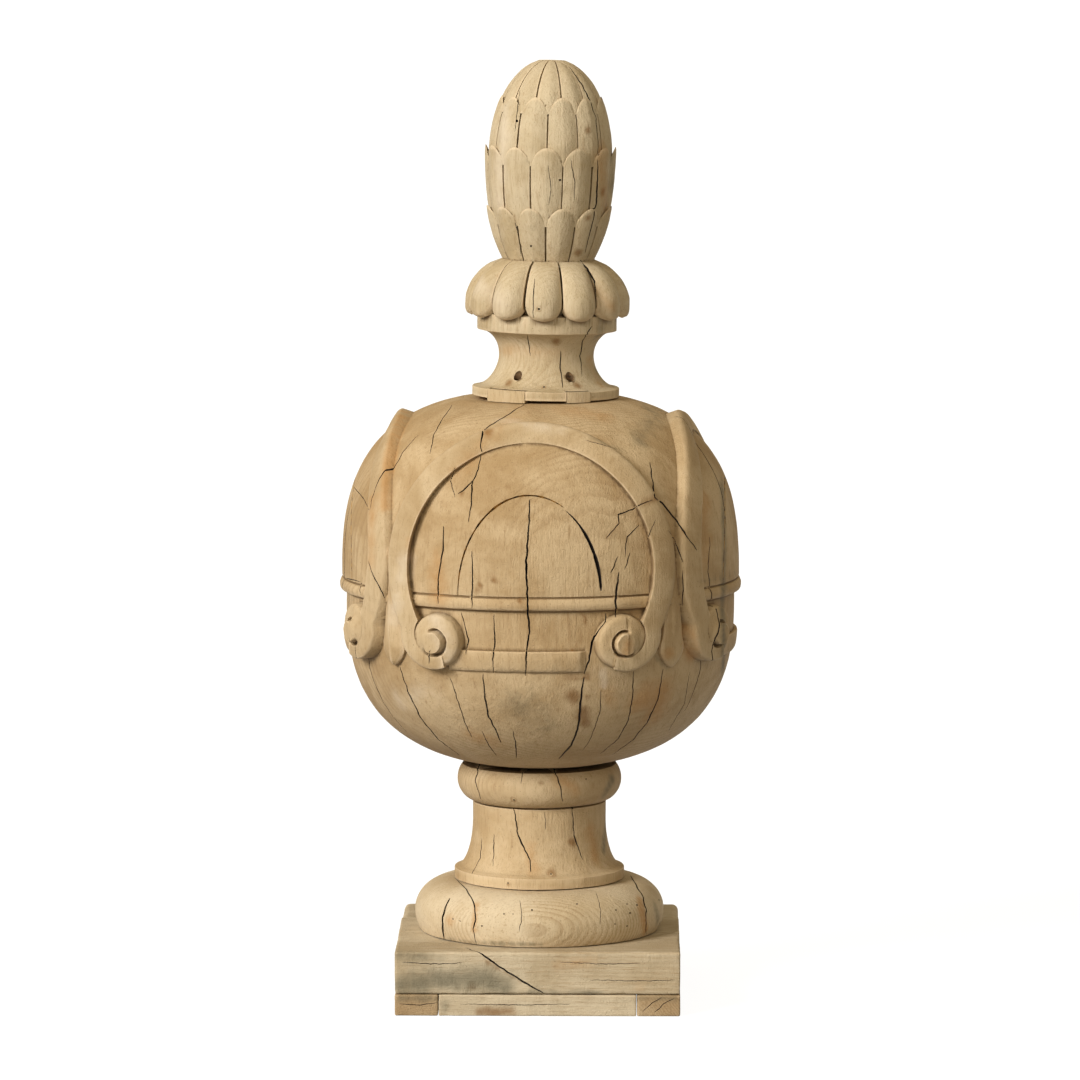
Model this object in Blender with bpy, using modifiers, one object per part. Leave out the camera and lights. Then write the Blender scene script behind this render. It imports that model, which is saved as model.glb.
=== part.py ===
"""Carved wooden roof finial: a boarded plinth, a turned foot and stem, a ball with four ring
motifs, and a scaled cone over a skirt of petals. Metres, +Z up. The origin is at the centre of
the plinth's underside, and the front looks towards -Y."""

import math

import bmesh
import bpy
from mathutils import Matrix, Vector

MM = 0.001
TOUCH_GAP = 0.3 * MM  # between pieces that touch

# Plinth: two cleats with a board between them, under three planks
PLINTH_WIDTH = 340 * MM
PLINTH_DEPTH = 340 * MM
CLEAT_WIDTH = 52 * MM
LOWER_THICKNESS = 26 * MM
UPPER_THICKNESS = 51.5 * MM
FRONT_PLANK_DEPTH = 140 * MM
BACK_PLANK_DEPTH = 105 * MM
CORNER_WEAR = 2.5 * MM
BACK_EDGE_WEAR = 9 * MM

# Foot ring
FOOT_RADIUS = 151.5 * MM
FOOT_HEIGHT = 62 * MM
FOOT_ROUND = 43.5 * MM  # how far in from the widest point the top is
FOOT_UPPER_RISE = 38 * MM  # from the widest point up to the top
FOOT_LOWER_ROUND = 46 * MM  # height of the lower curve, cut short by the plinth

# Stem, with its fillet
FILLET_RADIUS = 103.5 * MM
FILLET_HEIGHT = 14 * MM
STEM_RADIUS = 81.3 * MM
STEM_FLARE = 20.5 * MM
STEM_FLARE_HEIGHT = 59 * MM
STEM_HEIGHT = 94.3 * MM

# Collar ring
COLLAR_RADIUS = 100 * MM
COLLAR_ROUND = 24 * MM
COLLAR_HALF_HEIGHT = 27 * MM
COLLAR_HEIGHT = 45.7 * MM

# Body: a lower bowl, a sill and a dome, all turned
BODY_SHIFT = 1.4 * MM  # the ball sits off the plinth's centre, towards +X
BOWL_RADIUS = 234.5 * MM
BOWL_HEIGHT = 201 * MM
BOWL_FULLNESS = 2.6
BOWL_FOOT_RADIUS = 57 * MM
BOWL_STRAIGHT = 13 * MM
SILL_RADIUS = 242.5 * MM
SILL_HEIGHT = 16 * MM
SILL_GROOVE = 2.5 * MM
DOME_RADIUS = 240 * MM
DOME_HEIGHT = 226 * MM
DOME_FULLNESS = 2.8
SEAT_RADIUS = 100 * MM

# Ring motifs, four of them; heights are above the sill
MOTIF_TURNS = (-2.6, 86.5, 178, 269.5)  # degrees round the ball: front, right, back, left
RING_RISE = 31 * MM
RING_OUTER_RADIUS = 170 * MM
RING_INNER_RADIUS = 145 * MM
RING_END_ANGLE = -25  # degrees below the ring's centre, where the volutes begin
RING_PROUD = 10.5 * MM  # out of the dome
RING_LOWER_PROUD = 16 * MM  # out of the bowl
RING_CREST_PROUD = 1 * MM  # more at the outer edge of the crest
RING_CREST_SINK = 9.5 * MM  # less at its inner edge
RELIEF_ROOT = 8 * MM  # how deep the carving's solids reach into the ball
VOLUTE_OUT = 106 * MM
LOST_VOLUTE = (1, 1)  # the right motif's far volute is gone
VOLUTE_DROP = 53 * MM
VOLUTE_RADIUS = 32 * MM
VOLUTE_PROUD = 15 * MM
VOLUTE_TAPER = 2 * MM
VOLUTE_BAND_WIDTH = 14 * MM
VOLUTE_GROOVE = 8 * MM
EYE_RADIUS = 11 * MM
EYE_PROUD = 21 * MM
BAR_TOP_DROP = 63 * MM
BAR_HEIGHT = 26 * MM
BAR_PROUD = 4.5 * MM
BAR_SOFT_EDGE = 8 * MM
BAR_BREAK = 40 * MM  # the front bar ends this far short of the volute's centre
LUNETTE_LEFT = 84 * MM
LUNETTE_RIGHT = 86 * MM
LUNETTE_RISE = 118 * MM
LUNETTE_LINE_WIDTH = 3 * MM
LUNETTE_LINE_DEPTH = 2.5 * MM
LEAF_WIDTH = 38 * MM
LEAF_TIP_DROP = 90 * MM
LEAF_WIDEST_DROP = 68 * MM
LEAF_TOP_RISE = 40 * MM
LEAF_PROUD = 10 * MM
LEAF_EDGE_PROUD = 3 * MM
LEAF_TOP_SINK = 5.5 * MM  # above the sill the leaf sinks into the dome

# Top carving: rim, neck, fillet, petals and scales, cut from one log
TOP_SHIFT = 6 * MM  # from the ball's axis, towards +X
TOP_LEAN = 1.15  # degrees, towards +X
TOP_TURN = -2.8  # degrees, the front petal's place
RIM_RADIUS = 89 * MM
RIM_HEIGHT = 12 * MM
NECK_RADIUS = 57.5 * MM
NECK_LOWER_HEIGHT = 37.5 * MM
NECK_UPPER_HEIGHT = 30 * MM
TOP_FILLET_RADIUS = 84.3 * MM
TOP_FILLET_HEIGHT = 15 * MM
LOBES = 12
PETAL_RADIUS = 99.5 * MM
PETAL_HEIGHT = 69 * MM
PETAL_STRAIGHT = 20 * MM
PETAL_FULLNESS = 1.7
PETAL_VALLEY = 8 * MM
PETAL_NOTCH = 11 * MM
PETAL_UNDERCUT = 3 * MM
CONE_BASE_RADIUS = 56 * MM
CONE_RADIUS = 80.5 * MM
CONE_SWELL_HEIGHT = 118 * MM
CONE_HEIGHT = 242 * MM
CONE_TIP_CUT = 2 * MM
SCALE_VALLEY = 2.6 * MM
SCALE_NOTCH = 14 * MM
LOWER_TIER_TOP = 66 * MM
MIDDLE_TIER_TOP = 138 * MM
UPPER_TIER_TOP = 197 * MM
LOWER_TIER_STEP = 3 * MM
MIDDLE_TIER_STEP = 3.4 * MM
UPPER_TIER_STEP = 4 * MM

# Repairs let into the rim, and the pockets cut for its toe screws; angles in degrees
PATCH_DEPTH = 14 * MM
LEFT_PATCH = (-50.8, -15.7)
RIGHT_PATCH = (17.6, 30.4)
WEDGE_PATCH = (30.9, 37.4)
POCKET_ANGLES = (-31, 27)
POCKET_RADIUS = 5 * MM
POCKET_DEPTH = 9 * MM
POCKET_RISE = 22 * MM  # the cutter's middle, above the rim
POCKET_CUT = 36 * MM  # the cutter's length
POCKET_SLOPE = 20  # degrees

# How finely curves are cut
BALL_SEGMENTS = 36
TURNED_SEGMENTS = 28
VOLUTE_SEGMENTS = 12
COLUMNS_PER_LOBE = 4
RING_STATIONS = 15
CURL_STATIONS = 3
LOWER_NECK_ROWS = (0.0, 0.2, 0.6)  # rows of points, as shares of each stretch's height
UPPER_NECK_ROWS = (0.15, 0.7)
PETAL_ROWS = (0.3, 0.68, 0.9, 1.0)
SCALE_ROW = 0.3
TIP_ROWS = (0.3, 0.78)

WOODS = {
    "pale_oak": (0.60, 0.45, 0.29, 1.0),
    "ball_oak": (0.50, 0.35, 0.20, 1.0),
    "grey_pine": (0.55, 0.45, 0.32, 1.0),
    "end_grain": (0.47, 0.34, 0.21, 1.0),
}


# Collections, materials and meshes


def cleared_scene():
    """Removes what the scene holds, and gives the part's collection and the cutters'."""
    for obj in list(bpy.data.objects):
        bpy.data.objects.remove(obj, do_unlink=True)
    made = []
    for name in ("roof_finial", "cutters"):
        collection = bpy.data.collections.new(name)
        bpy.context.scene.collection.children.link(collection)
        made.append(collection)
    return made


def wood(name):
    """A plain wood: its colour, dry and unvarnished."""
    material = bpy.data.materials.get(name)
    if material is None:
        material = bpy.data.materials.new(name)
        material.use_nodes = True
        material.diffuse_color = WOODS[name]
        shader = material.node_tree.nodes["Principled BSDF"]
        shader.inputs["Base Color"].default_value = WOODS[name]
        shader.inputs["Roughness"].default_value = 0.8
        shader.inputs["Metallic"].default_value = 0.0
    return material


def add_object(name, bm, collection):
    mesh = bpy.data.meshes.new(name)
    bm.to_mesh(mesh)
    bm.free()
    obj = bpy.data.objects.new(name, mesh)
    collection.objects.link(obj)
    return obj


def as_cutter(obj):
    obj.hide_render = True
    obj.display_type = "WIRE"
    return obj


def smooth(obj, degrees=30):
    obj.data.shade_smooth()
    obj.data.set_sharp_from_angle(angle=math.radians(degrees))
    return obj


def turned(name, profile, segments, collection):
    """A solid of revolution. The profile is (radius, height) from the axis at the top, down the
    outside, to the axis at the bottom."""
    bm = bmesh.new()
    points = [bm.verts.new((radius, 0, height)) for radius, height in profile]
    for upper, lower in zip(points, points[1:]):
        bm.edges.new((upper, lower))
    obj = add_object(name, bm, collection)
    screw = obj.modifiers.new("Turn", "SCREW")
    screw.axis = "Z"
    screw.steps = segments
    screw.render_steps = segments
    screw.use_merge_vertices = True
    screw.merge_threshold = 0.01 * MM
    screw.use_smooth_shade = True
    return obj


def loft(name, rings, collection):
    """A closed solid through rings of points, each ring with as many points as the next."""
    bm = bmesh.new()
    rows = [[bm.verts.new(point) for point in ring] for ring in rings]
    count = len(rows[0])
    for row, following in zip(rows, rows[1:]):
        for i in range(count):
            j = (i + 1) % count
            bm.faces.new((row[i], row[j], following[j], following[i]))
    bm.faces.new(rows[0])
    bm.faces.new(rows[-1])
    bmesh.ops.triangulate(bm, faces=bm.faces)
    bmesh.ops.recalc_face_normals(bm, faces=bm.faces)
    return add_object(name, bm, collection)


def block(name, low, high, collection):
    """A box between two corners."""
    low, high = Vector(low), Vector(high)
    place = Matrix.Translation((low + high) / 2) @ Matrix.Diagonal((*(high - low), 1))
    bm = bmesh.new()
    bmesh.ops.create_cube(bm, size=1, matrix=place)
    return add_object(name, bm, collection)


def boolean(obj, other, operation):
    modifier = obj.modifiers.new(operation.title(), "BOOLEAN")
    modifier.operation = operation
    modifier.solver = "EXACT"
    modifier.object = other


# Curves


def quarter(share, fullness=2.0):
    """A quarter of a superellipse: 1 at share 0, falling to 0 at share 1."""
    return max(0.0, 1 - min(1.0, share) ** fullness) ** (1 / fullness)


def shares(count):
    """Even steps from 0 to 1, both ends included."""
    return [i / (count - 1) for i in range(count)]


def around(radius, degrees, height):
    """A point at a radius and an angle from the front, positive towards +X."""
    angle = math.radians(degrees)
    return Vector((radius * math.sin(angle), -radius * math.cos(angle), height))


def half_round(widest, round_in, centre, above, below, upper_rise, lower_drop, count):
    """An oval moulding's outer side, from `above` its centre down to `below` it."""
    points = []
    top = math.asin(above / upper_rise)
    bottom = math.asin(below / lower_drop)
    for share in shares(count):
        angle = top - share * (top + bottom)
        tall = upper_rise if angle > 0 else lower_drop
        radius = widest - round_in + round_in * math.cos(angle)
        points.append((radius, centre + tall * math.sin(angle)))
    return points


# Plinth


def plinth(parts):
    half_width, half_depth = PLINTH_WIDTH / 2, PLINTH_DEPTH / 2
    inner = half_width - CLEAT_WIDTH
    gap = TOUCH_GAP
    lower = LOWER_THICKNESS
    board_x = inner - gap
    left = block("left_cleat", (-half_width, -half_depth, 0), (-inner, half_depth, lower), parts)
    right = block("right_cleat", (inner, -half_depth, 0), (half_width, half_depth, lower), parts)
    board = block("base_board", (-board_x, -half_depth, 0), (board_x, half_depth, lower), parts)
    bottom = lower + gap
    top = bottom + UPPER_THICKNESS
    front_edge = -half_depth + FRONT_PLANK_DEPTH
    back_edge = half_depth - BACK_PLANK_DEPTH
    ends = {
        "plinth_front_board": (-half_depth, front_edge),
        "plinth_middle_board": (front_edge + gap, back_edge),
        "plinth_back_board": (back_edge + gap, half_depth),
    }
    planks = [
        block(name, (-half_width, near, bottom), (half_width, far, top), parts)
        for name, (near, far) in ends.items()
    ]
    for obj in (left, right, board, *planks):
        is_end_grain = obj in (left, right)
        obj.data.materials.append(wood("end_grain" if is_end_grain else "grey_pine"))
        wear_edges(obj, half_width, half_depth, top)
    return top


def wear_edges(obj, half_width, half_depth, top):
    """Rounds a board where it is on the plinth's outside: its corners, and its upper back edge."""
    bm = bmesh.new()
    bm.from_mesh(obj.data)
    near = TOUCH_GAP
    corners, back = [], []
    for edge in bm.edges:
        middle = (edge.verts[0].co + edge.verts[1].co) / 2
        at_side = half_width - abs(middle.x) < near
        at_end = half_depth - abs(middle.y) < near
        if at_side and at_end:
            corners.append(edge)
        elif half_depth - middle.y < near and top - middle.z < near:
            back.append(edge)
    for edges, width, steps in ((corners, CORNER_WEAR, 2), (back, BACK_EDGE_WEAR, 3)):
        live = [edge for edge in edges if edge.is_valid]
        if live:
            bmesh.ops.bevel(
                bm, geom=live, offset=width, segments=steps, profile=0.5, affect="EDGES"
            )
    bm.to_mesh(obj.data)
    bm.free()


# Turned mouldings between the plinth and the ball


def foot_ring(parts, bottom):
    top = bottom + FOOT_HEIGHT
    centre = top - FOOT_UPPER_RISE
    outline = half_round(
        FOOT_RADIUS,
        FOOT_ROUND,
        centre,
        FOOT_UPPER_RISE,
        centre - bottom,
        FOOT_UPPER_RISE,
        FOOT_LOWER_ROUND,
        9,
    )
    profile = [(0, top), *outline, (0, bottom)]
    obj = turned("foot_ring", profile, TURNED_SEGMENTS, parts)
    obj.data.materials.append(wood("pale_oak"))
    return top


def stem(parts, bottom):
    top = bottom + STEM_HEIGHT
    fillet_top = bottom + FILLET_HEIGHT
    flare_top = fillet_top + STEM_FLARE_HEIGHT
    flare = [
        (STEM_RADIUS + STEM_FLARE * (1 - quarter(share)), flare_top - share * STEM_FLARE_HEIGHT)
        for share in shares(6)
    ]
    profile = [
        (0, top),
        (STEM_RADIUS, top),
        *flare,
        (FILLET_RADIUS, fillet_top - TOUCH_GAP),
        (FILLET_RADIUS, bottom),
        (0, bottom),
    ]
    obj = turned("stem", profile, TURNED_SEGMENTS, parts)
    obj.data.materials.append(wood("pale_oak"))
    return top


def collar_ring(parts, bottom):
    top = bottom + COLLAR_HEIGHT
    centre = bottom + COLLAR_HALF_HEIGHT
    tall = COLLAR_HALF_HEIGHT
    outline = half_round(COLLAR_RADIUS, COLLAR_ROUND, centre, top - centre, tall, tall, tall, 8)
    profile = [(0, top), *outline, (0, bottom)]
    obj = turned("collar_ring", profile, TURNED_SEGMENTS, parts)
    obj.data.materials.append(wood("pale_oak"))
    return top


# Body. Heights from here to the top carving are above the ball's own underside

BOWL_CENTRE = BOWL_HEIGHT * quarter(BOWL_FOOT_RADIUS / BOWL_RADIUS, BOWL_FULLNESS)
SILL_BOTTOM = BOWL_CENTRE + BOWL_STRAIGHT
SILL_TOP = SILL_BOTTOM + SILL_HEIGHT
DOME_CENTRE = SILL_TOP - SILL_HEIGHT / 4
SEAT_HEIGHT = DOME_CENTRE + DOME_HEIGHT * quarter(SEAT_RADIUS / DOME_RADIUS, DOME_FULLNESS)
RING_CENTRE = SILL_TOP + RING_RISE


def ball_profile():
    """The ball's outline, top to bottom."""
    top_share = (SEAT_HEIGHT - DOME_CENTRE) / DOME_HEIGHT
    top_angle = math.asin(top_share)
    start = (SILL_TOP + SILL_GROOVE - DOME_CENTRE) / DOME_HEIGHT
    dome = []
    for share in shares(7):
        rise = math.sin(top_angle + share * (math.asin(start) - top_angle))
        dome.append((DOME_RADIUS * quarter(rise, DOME_FULLNESS), DOME_CENTRE + rise * DOME_HEIGHT))
    bowl = []
    for share in shares(8):
        radius = BOWL_RADIUS - share**2 * (BOWL_RADIUS - BOWL_FOOT_RADIUS)
        drop = BOWL_HEIGHT * quarter(radius / BOWL_RADIUS, BOWL_FULLNESS)
        bowl.append((radius, BOWL_CENTRE - drop))
    soft = SILL_GROOVE
    sill = [
        (DOME_RADIUS - soft, SILL_TOP),
        (SILL_RADIUS - soft / 2, SILL_TOP - soft),
        (SILL_RADIUS, SILL_TOP - 2 * soft),
        (SILL_RADIUS, SILL_BOTTOM + 2 * soft),
        (SILL_RADIUS - soft, SILL_BOTTOM),
        (BOWL_RADIUS, SILL_BOTTOM),
    ]
    return [(0, SEAT_HEIGHT), *dome, *sill, *bowl, (0, 0)]


def dome_share(height):
    """0 on the bowl, 1 on the dome, and between them across the sill."""
    return min(1.0, max(0.0, (height - BOWL_CENTRE) / (DOME_CENTRE - BOWL_CENTRE)))


def cap_point(across, height, proud):
    """A point in front of the ball, and the way out of the surface there. It stands `proud` out
    of the dome or the bowl, at a place across the front and a height."""
    widest = BOWL_RADIUS + dome_share(height) * (DOME_RADIUS - BOWL_RADIUS) + proud
    if height >= DOME_CENTRE:
        tall, power, rise = DOME_HEIGHT + proud, DOME_FULLNESS, height - DOME_CENTRE
    else:
        tall, power, rise = BOWL_HEIGHT + proud, BOWL_FULLNESS, min(0.0, height - BOWL_CENTRE)
    share = abs(rise) / tall
    radius = widest * quarter(share, power)
    depth = math.sqrt(max(radius**2 - across**2, 0.0))
    outward = (radius / widest) ** (power - 1) / widest
    upward = math.copysign(share ** (power - 1) / tall, rise)
    normal = Vector((outward * across / radius, -outward * depth / radius, upward))
    return Vector((across, -depth, height)), normal.normalized()


def strip(name, edges, root, cutters):
    """A raised band along pairs of edge points (across, height, proud). It reaches `root` into
    the ball."""
    rings = []
    for outer, inner in edges:
        ring = []
        for (across, height, proud), is_outer in ((outer, True), (inner, False)):
            point, normal = cap_point(across, height, proud)
            foot = point - normal * (proud + root)
            ring += [foot, point] if is_outer else [point, foot]
        rings.append(ring)
    return loft(name, rings, cutters)


def ring_edge(radius, degrees, crest_proud):
    """A point on an edge of the ring. Its crest stands out by `crest_proud` more."""
    angle = math.radians(degrees)
    height = RING_CENTRE + radius * math.sin(angle)
    proud = RING_LOWER_PROUD + dome_share(height) * (RING_PROUD - RING_LOWER_PROUD)
    crest = max(0.0, math.sin(angle)) ** 3
    return (radius * math.cos(angle), height, proud + crest * crest_proud)


def ring_station(degrees):
    """Both edges of the ring at an angle from its centre. The crest leans back with the dome."""
    outer = ring_edge(RING_OUTER_RADIUS, degrees, RING_CREST_PROUD)
    inner = ring_edge(RING_INNER_RADIUS, degrees, -RING_CREST_SINK)
    return outer, inner


def curl_stations():
    """The band's run from the ring's right end to the underside of the volute."""
    volute = Vector((VOLUTE_OUT, SILL_TOP - VOLUTE_DROP))
    ends = (VOLUTE_RADIUS + VOLUTE_TAPER / 2, VOLUTE_RADIUS / 2)
    starts = []
    for across, height, _ in ring_station(RING_END_ANGLE):
        arm = Vector((across, height)) - volute
        starts.append((arm.length, math.atan2(arm.y, arm.x)))
    stations = []
    for step in range(1, CURL_STATIONS + 1):
        share = step / CURL_STATIONS
        pair = []
        for (reach, angle), end_reach in zip(starts, ends):
            at = angle + share * (-math.pi / 2 - angle)
            long = reach + share * (end_reach - reach)
            across = volute.x + long * math.cos(at)
            pair.append((across, volute.y + long * math.sin(at), RING_LOWER_PROUD))
        stations.append(tuple(pair))
    return stations


def mirrored(stations):
    """The same edges on the left, in the other order."""
    return [
        tuple((-across, height, proud) for across, height, proud in pair)
        for pair in reversed(stations)
    ]


def ring_band(cutters):
    curl = curl_stations()
    span = 180 - 2 * RING_END_ANGLE
    ring = [ring_station(RING_END_ANGLE + span * share) for share in shares(RING_STATIONS)]
    edges = mirrored(curl) + list(reversed(ring)) + curl
    return strip("ring_band", edges, RELIEF_ROOT, cutters)


def volute(cutters):
    """A coiled end: a raised rim, a groove and a round eye. It stands on +Z."""
    groove_out = VOLUTE_RADIUS - VOLUTE_BAND_WIDTH
    profile = [
        (0, EYE_PROUD),
        (EYE_RADIUS - VOLUTE_TAPER, EYE_PROUD),
        (EYE_RADIUS, VOLUTE_GROOVE),
        (groove_out, VOLUTE_PROUD),
        (VOLUTE_RADIUS - VOLUTE_TAPER, VOLUTE_PROUD),
        (VOLUTE_RADIUS + VOLUTE_TAPER, -RELIEF_ROOT),
        (0, -RELIEF_ROOT),
    ]
    return turned("volute", profile, VOLUTE_SEGMENTS, cutters)


def volute_place(side):
    """Where a volute stands: on the bowl, square to it."""
    foot, normal = cap_point(side * VOLUTE_OUT, SILL_TOP - VOLUTE_DROP, 0)
    turn = Vector((0, 0, 1)).rotation_difference(normal)
    return Matrix.Translation(foot) @ turn.to_matrix().to_4x4()


def lower_bar(name, right_end, cutters):
    """The moulding between the volutes, in stations from left to right."""
    top = SILL_TOP - BAR_TOP_DROP
    left_end = -VOLUTE_OUT + EYE_RADIUS
    section = (
        (0, BAR_PROUD),
        (BAR_SOFT_EDGE - BAR_HEIGHT, BAR_PROUD),
        (-BAR_HEIGHT, BAR_PROUD - VOLUTE_TAPER),
        (-BAR_HEIGHT, -RELIEF_ROOT),
        (0, -RELIEF_ROOT),
    )
    rings = []
    for share in shares(6):
        across = left_end + share * (right_end - left_end)
        rings.append([cap_point(across, top + rise, proud)[0] for rise, proud in section])
    return loft(name, rings, cutters)


def lunette_line(cutters):
    """The cutter for the half-oval line above the sill."""
    edges = []
    for share in shares(11):
        angle = math.pi * share
        reach = LUNETTE_RIGHT if share < 0.5 else LUNETTE_LEFT
        pair = []
        for side in (0.5, -0.5):
            across = (reach + side * LUNETTE_LINE_WIDTH) * math.cos(angle)
            rise = (LUNETTE_RISE + side * LUNETTE_LINE_WIDTH) * math.sin(angle)
            pair.append((across, SILL_TOP + SILL_GROOVE + rise, LUNETTE_LINE_DEPTH))
        edges.append(tuple(pair))
    return strip("lunette_line", edges, LUNETTE_LINE_DEPTH, cutters)


def leaf(cutters):
    """The ribbed tongue that hangs between two rings. It is made at the front and turned."""
    tip = SILL_TOP - LEAF_TIP_DROP
    widest = SILL_TOP - LEAF_WIDEST_DROP
    top = SILL_TOP + LEAF_TOP_RISE
    heights = [
        (tip, 0.04),
        (tip + (widest - tip) * 0.4, 0.62),
        (widest, 1.0),
        (widest + (top - widest) * 0.35, 0.85),
        (widest + (top - widest) * 0.7, 0.5),
        (top, 0.25),
    ]
    rings = []
    for height, share in heights:
        reach = share * LEAF_WIDTH / 2
        edge = LEAF_EDGE_PROUD - dome_share(height) * LEAF_TOP_SINK
        ridge = edge + min(1.0, 2 * share) * (LEAF_PROUD - LEAF_EDGE_PROUD)
        root = edge - LEAF_EDGE_PROUD - RELIEF_ROOT
        section = ((-reach, root), (-reach, edge), (0, ridge), (reach, edge), (reach, root))
        rings.append([cap_point(across, height, proud)[0] for across, proud in section])
    return loft("leaf", rings, cutters)


def body(parts, cutters, bottom):
    obj = turned("body", ball_profile(), BALL_SEGMENTS, parts)
    place = Matrix.Translation((BODY_SHIFT, 0, bottom))
    obj.matrix_world = place
    obj.data.materials.append(wood("ball_oak"))
    band, coil, tongue, line = (
        ring_band(cutters),
        volute(cutters),
        leaf(cutters),
        lunette_line(cutters),
    )
    whole_bar = lower_bar("lower_bar", VOLUTE_OUT - EYE_RADIUS, cutters)
    broken_bar = lower_bar("broken_bar", VOLUTE_OUT - BAR_BREAK, cutters)
    sources = (band, coil, tongue, line, whole_bar, broken_bar)
    following = (*MOTIF_TURNS[1:], MOTIF_TURNS[0] + 360)
    for i, (turn, next_turn) in enumerate(zip(MOTIF_TURNS, following)):
        at_motif = Matrix.Rotation(math.radians(turn), 4, "Z")
        between = Matrix.Rotation(math.radians((turn + next_turn) / 2), 4, "Z")
        bar = broken_bar if i == 0 else whole_bar
        pieces = [
            (line, at_motif, "DIFFERENCE"),
            (tongue, between, "UNION"),
            (band, at_motif, "UNION"),
            (bar, at_motif, "UNION"),
        ]
        for side in (-1, 1):
            if (i, side) != LOST_VOLUTE:
                pieces.append((coil, at_motif @ volute_place(side), "UNION"))
        for source, spot, operation in pieces:
            copy = source.copy()
            cutters.objects.link(copy)
            copy.matrix_world = place @ spot
            boolean(obj, as_cutter(copy), operation)
    for source in sources:
        bpy.data.objects.remove(source, do_unlink=True)
    return bottom + SEAT_HEIGHT


# Top carving


def lobe_offset(column, shifted):
    """How far a column is from its lobe's middle: 0 there, 1 at the lobe's edge."""
    phase = column / COLUMNS_PER_LOBE + (0.5 if shifted else 0.0)
    return abs(phase - round(phase)) * 2


def lobed_row(height, outline, valley=0.0, notch=0.0, shifted=False):
    """A ring of points on an outline. Lobes fall away by `valley` and drop by `notch` at their
    edges."""
    columns = LOBES * COLUMNS_PER_LOBE
    row = []
    for column in range(columns):
        off = lobe_offset(column, shifted)
        at = height - notch * (1 - quarter(off))
        radius = outline(at) - valley * off**2
        row.append(around(radius, TOP_TURN + 360 * column / columns, at))
    return row


def neck_rows():
    rim_top = RIM_HEIGHT
    waist = rim_top + NECK_LOWER_HEIGHT
    fillet = waist + NECK_UPPER_HEIGHT
    rim_in = RIM_RADIUS - 2 * TOUCH_GAP

    def lower(height):
        share = (waist - height) / NECK_LOWER_HEIGHT
        return NECK_RADIUS + (rim_in - NECK_RADIUS) * (1 - quarter(share, 1.8))

    def upper(height):
        share = (height - waist) / NECK_UPPER_HEIGHT
        return NECK_RADIUS + (TOP_FILLET_RADIUS - NECK_RADIUS) * (1 - quarter(share))

    rows = [
        lobed_row(0, lambda _: RIM_RADIUS),
        lobed_row(rim_top - TOUCH_GAP, lambda _: RIM_RADIUS),
    ]
    rows += [lobed_row(rim_top + NECK_LOWER_HEIGHT * s, lower) for s in LOWER_NECK_ROWS]
    rows += [lobed_row(waist + NECK_UPPER_HEIGHT * s, upper) for s in UPPER_NECK_ROWS]
    rows += [lobed_row(fillet, lambda _: TOP_FILLET_RADIUS)]
    return rows, fillet


def petal_rows(fillet_bottom):
    bottom = fillet_bottom + TOP_FILLET_HEIGHT
    top = bottom + PETAL_HEIGHT
    shoulder = bottom + PETAL_STRAIGHT

    def outline(height):
        share = max(0.0, height - shoulder) / (top - shoulder)
        swell = quarter(share, PETAL_FULLNESS)
        return CONE_BASE_RADIUS + (PETAL_RADIUS - CONE_BASE_RADIUS) * swell

    def lip(height):
        return outline(height) - PETAL_UNDERCUT

    def fillet(_):
        return TOP_FILLET_RADIUS

    raised = bottom + PETAL_NOTCH
    rows = [
        lobed_row(bottom, fillet),
        lobed_row(bottom + TOUCH_GAP, fillet, 0, -PETAL_NOTCH),
        lobed_row(bottom + 2 * TOUCH_GAP, lip, PETAL_VALLEY, -PETAL_NOTCH),
        lobed_row(bottom + PETAL_UNDERCUT, outline, PETAL_VALLEY, -PETAL_NOTCH),
    ]
    for share in PETAL_ROWS:
        height = raised + share * (top - raised)
        rows.append(lobed_row(height, outline, PETAL_VALLEY * (1 - share**4)))
    return rows, top


def cone_rows(bottom):
    swell_top = bottom + CONE_SWELL_HEIGHT
    crown = CONE_HEIGHT - CONE_SWELL_HEIGHT

    def outline(height):
        if height < swell_top:
            share = 1 - (height - bottom) / CONE_SWELL_HEIGHT
            return CONE_RADIUS - (CONE_RADIUS - CONE_BASE_RADIUS) * max(0.0, share) ** 2.7
        return CONE_RADIUS * quarter((height - swell_top) / crown)

    tiers = (
        (LOWER_TIER_TOP, LOWER_TIER_STEP, True),
        (MIDDLE_TIER_TOP, MIDDLE_TIER_STEP, False),
        (UPPER_TIER_TOP, UPPER_TIER_STEP, True),
    )
    rows = []
    start = bottom
    recess = 0.0
    for tier_top, tier_step, shifted in tiers:
        top = bottom + tier_top
        clear = top - SCALE_NOTCH
        low = start + SCALE_ROW * (clear - start)

        def tier(_, radius=outline(low) - recess * (1 - SCALE_ROW)):
            return radius

        def behind(height, step=tier_step):
            return outline(height) - step

        rows.append(lobed_row(low, tier, SCALE_VALLEY, 0, shifted))
        rows.append(lobed_row(top, outline, SCALE_VALLEY, SCALE_NOTCH, shifted))
        rows.append(lobed_row(top + TOUCH_GAP, behind, 0, SCALE_NOTCH, shifted))
        start, recess = top, tier_step

    def tip(height):
        return outline(height) - recess

    end = bottom + CONE_HEIGHT - CONE_TIP_CUT
    for share in TIP_ROWS:
        height = start + share * (end - start)
        rows.append(lobed_row(height, tip, SCALE_VALLEY * (1 - share)))
    rows.append(lobed_row(end, outline))
    return rows


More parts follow.
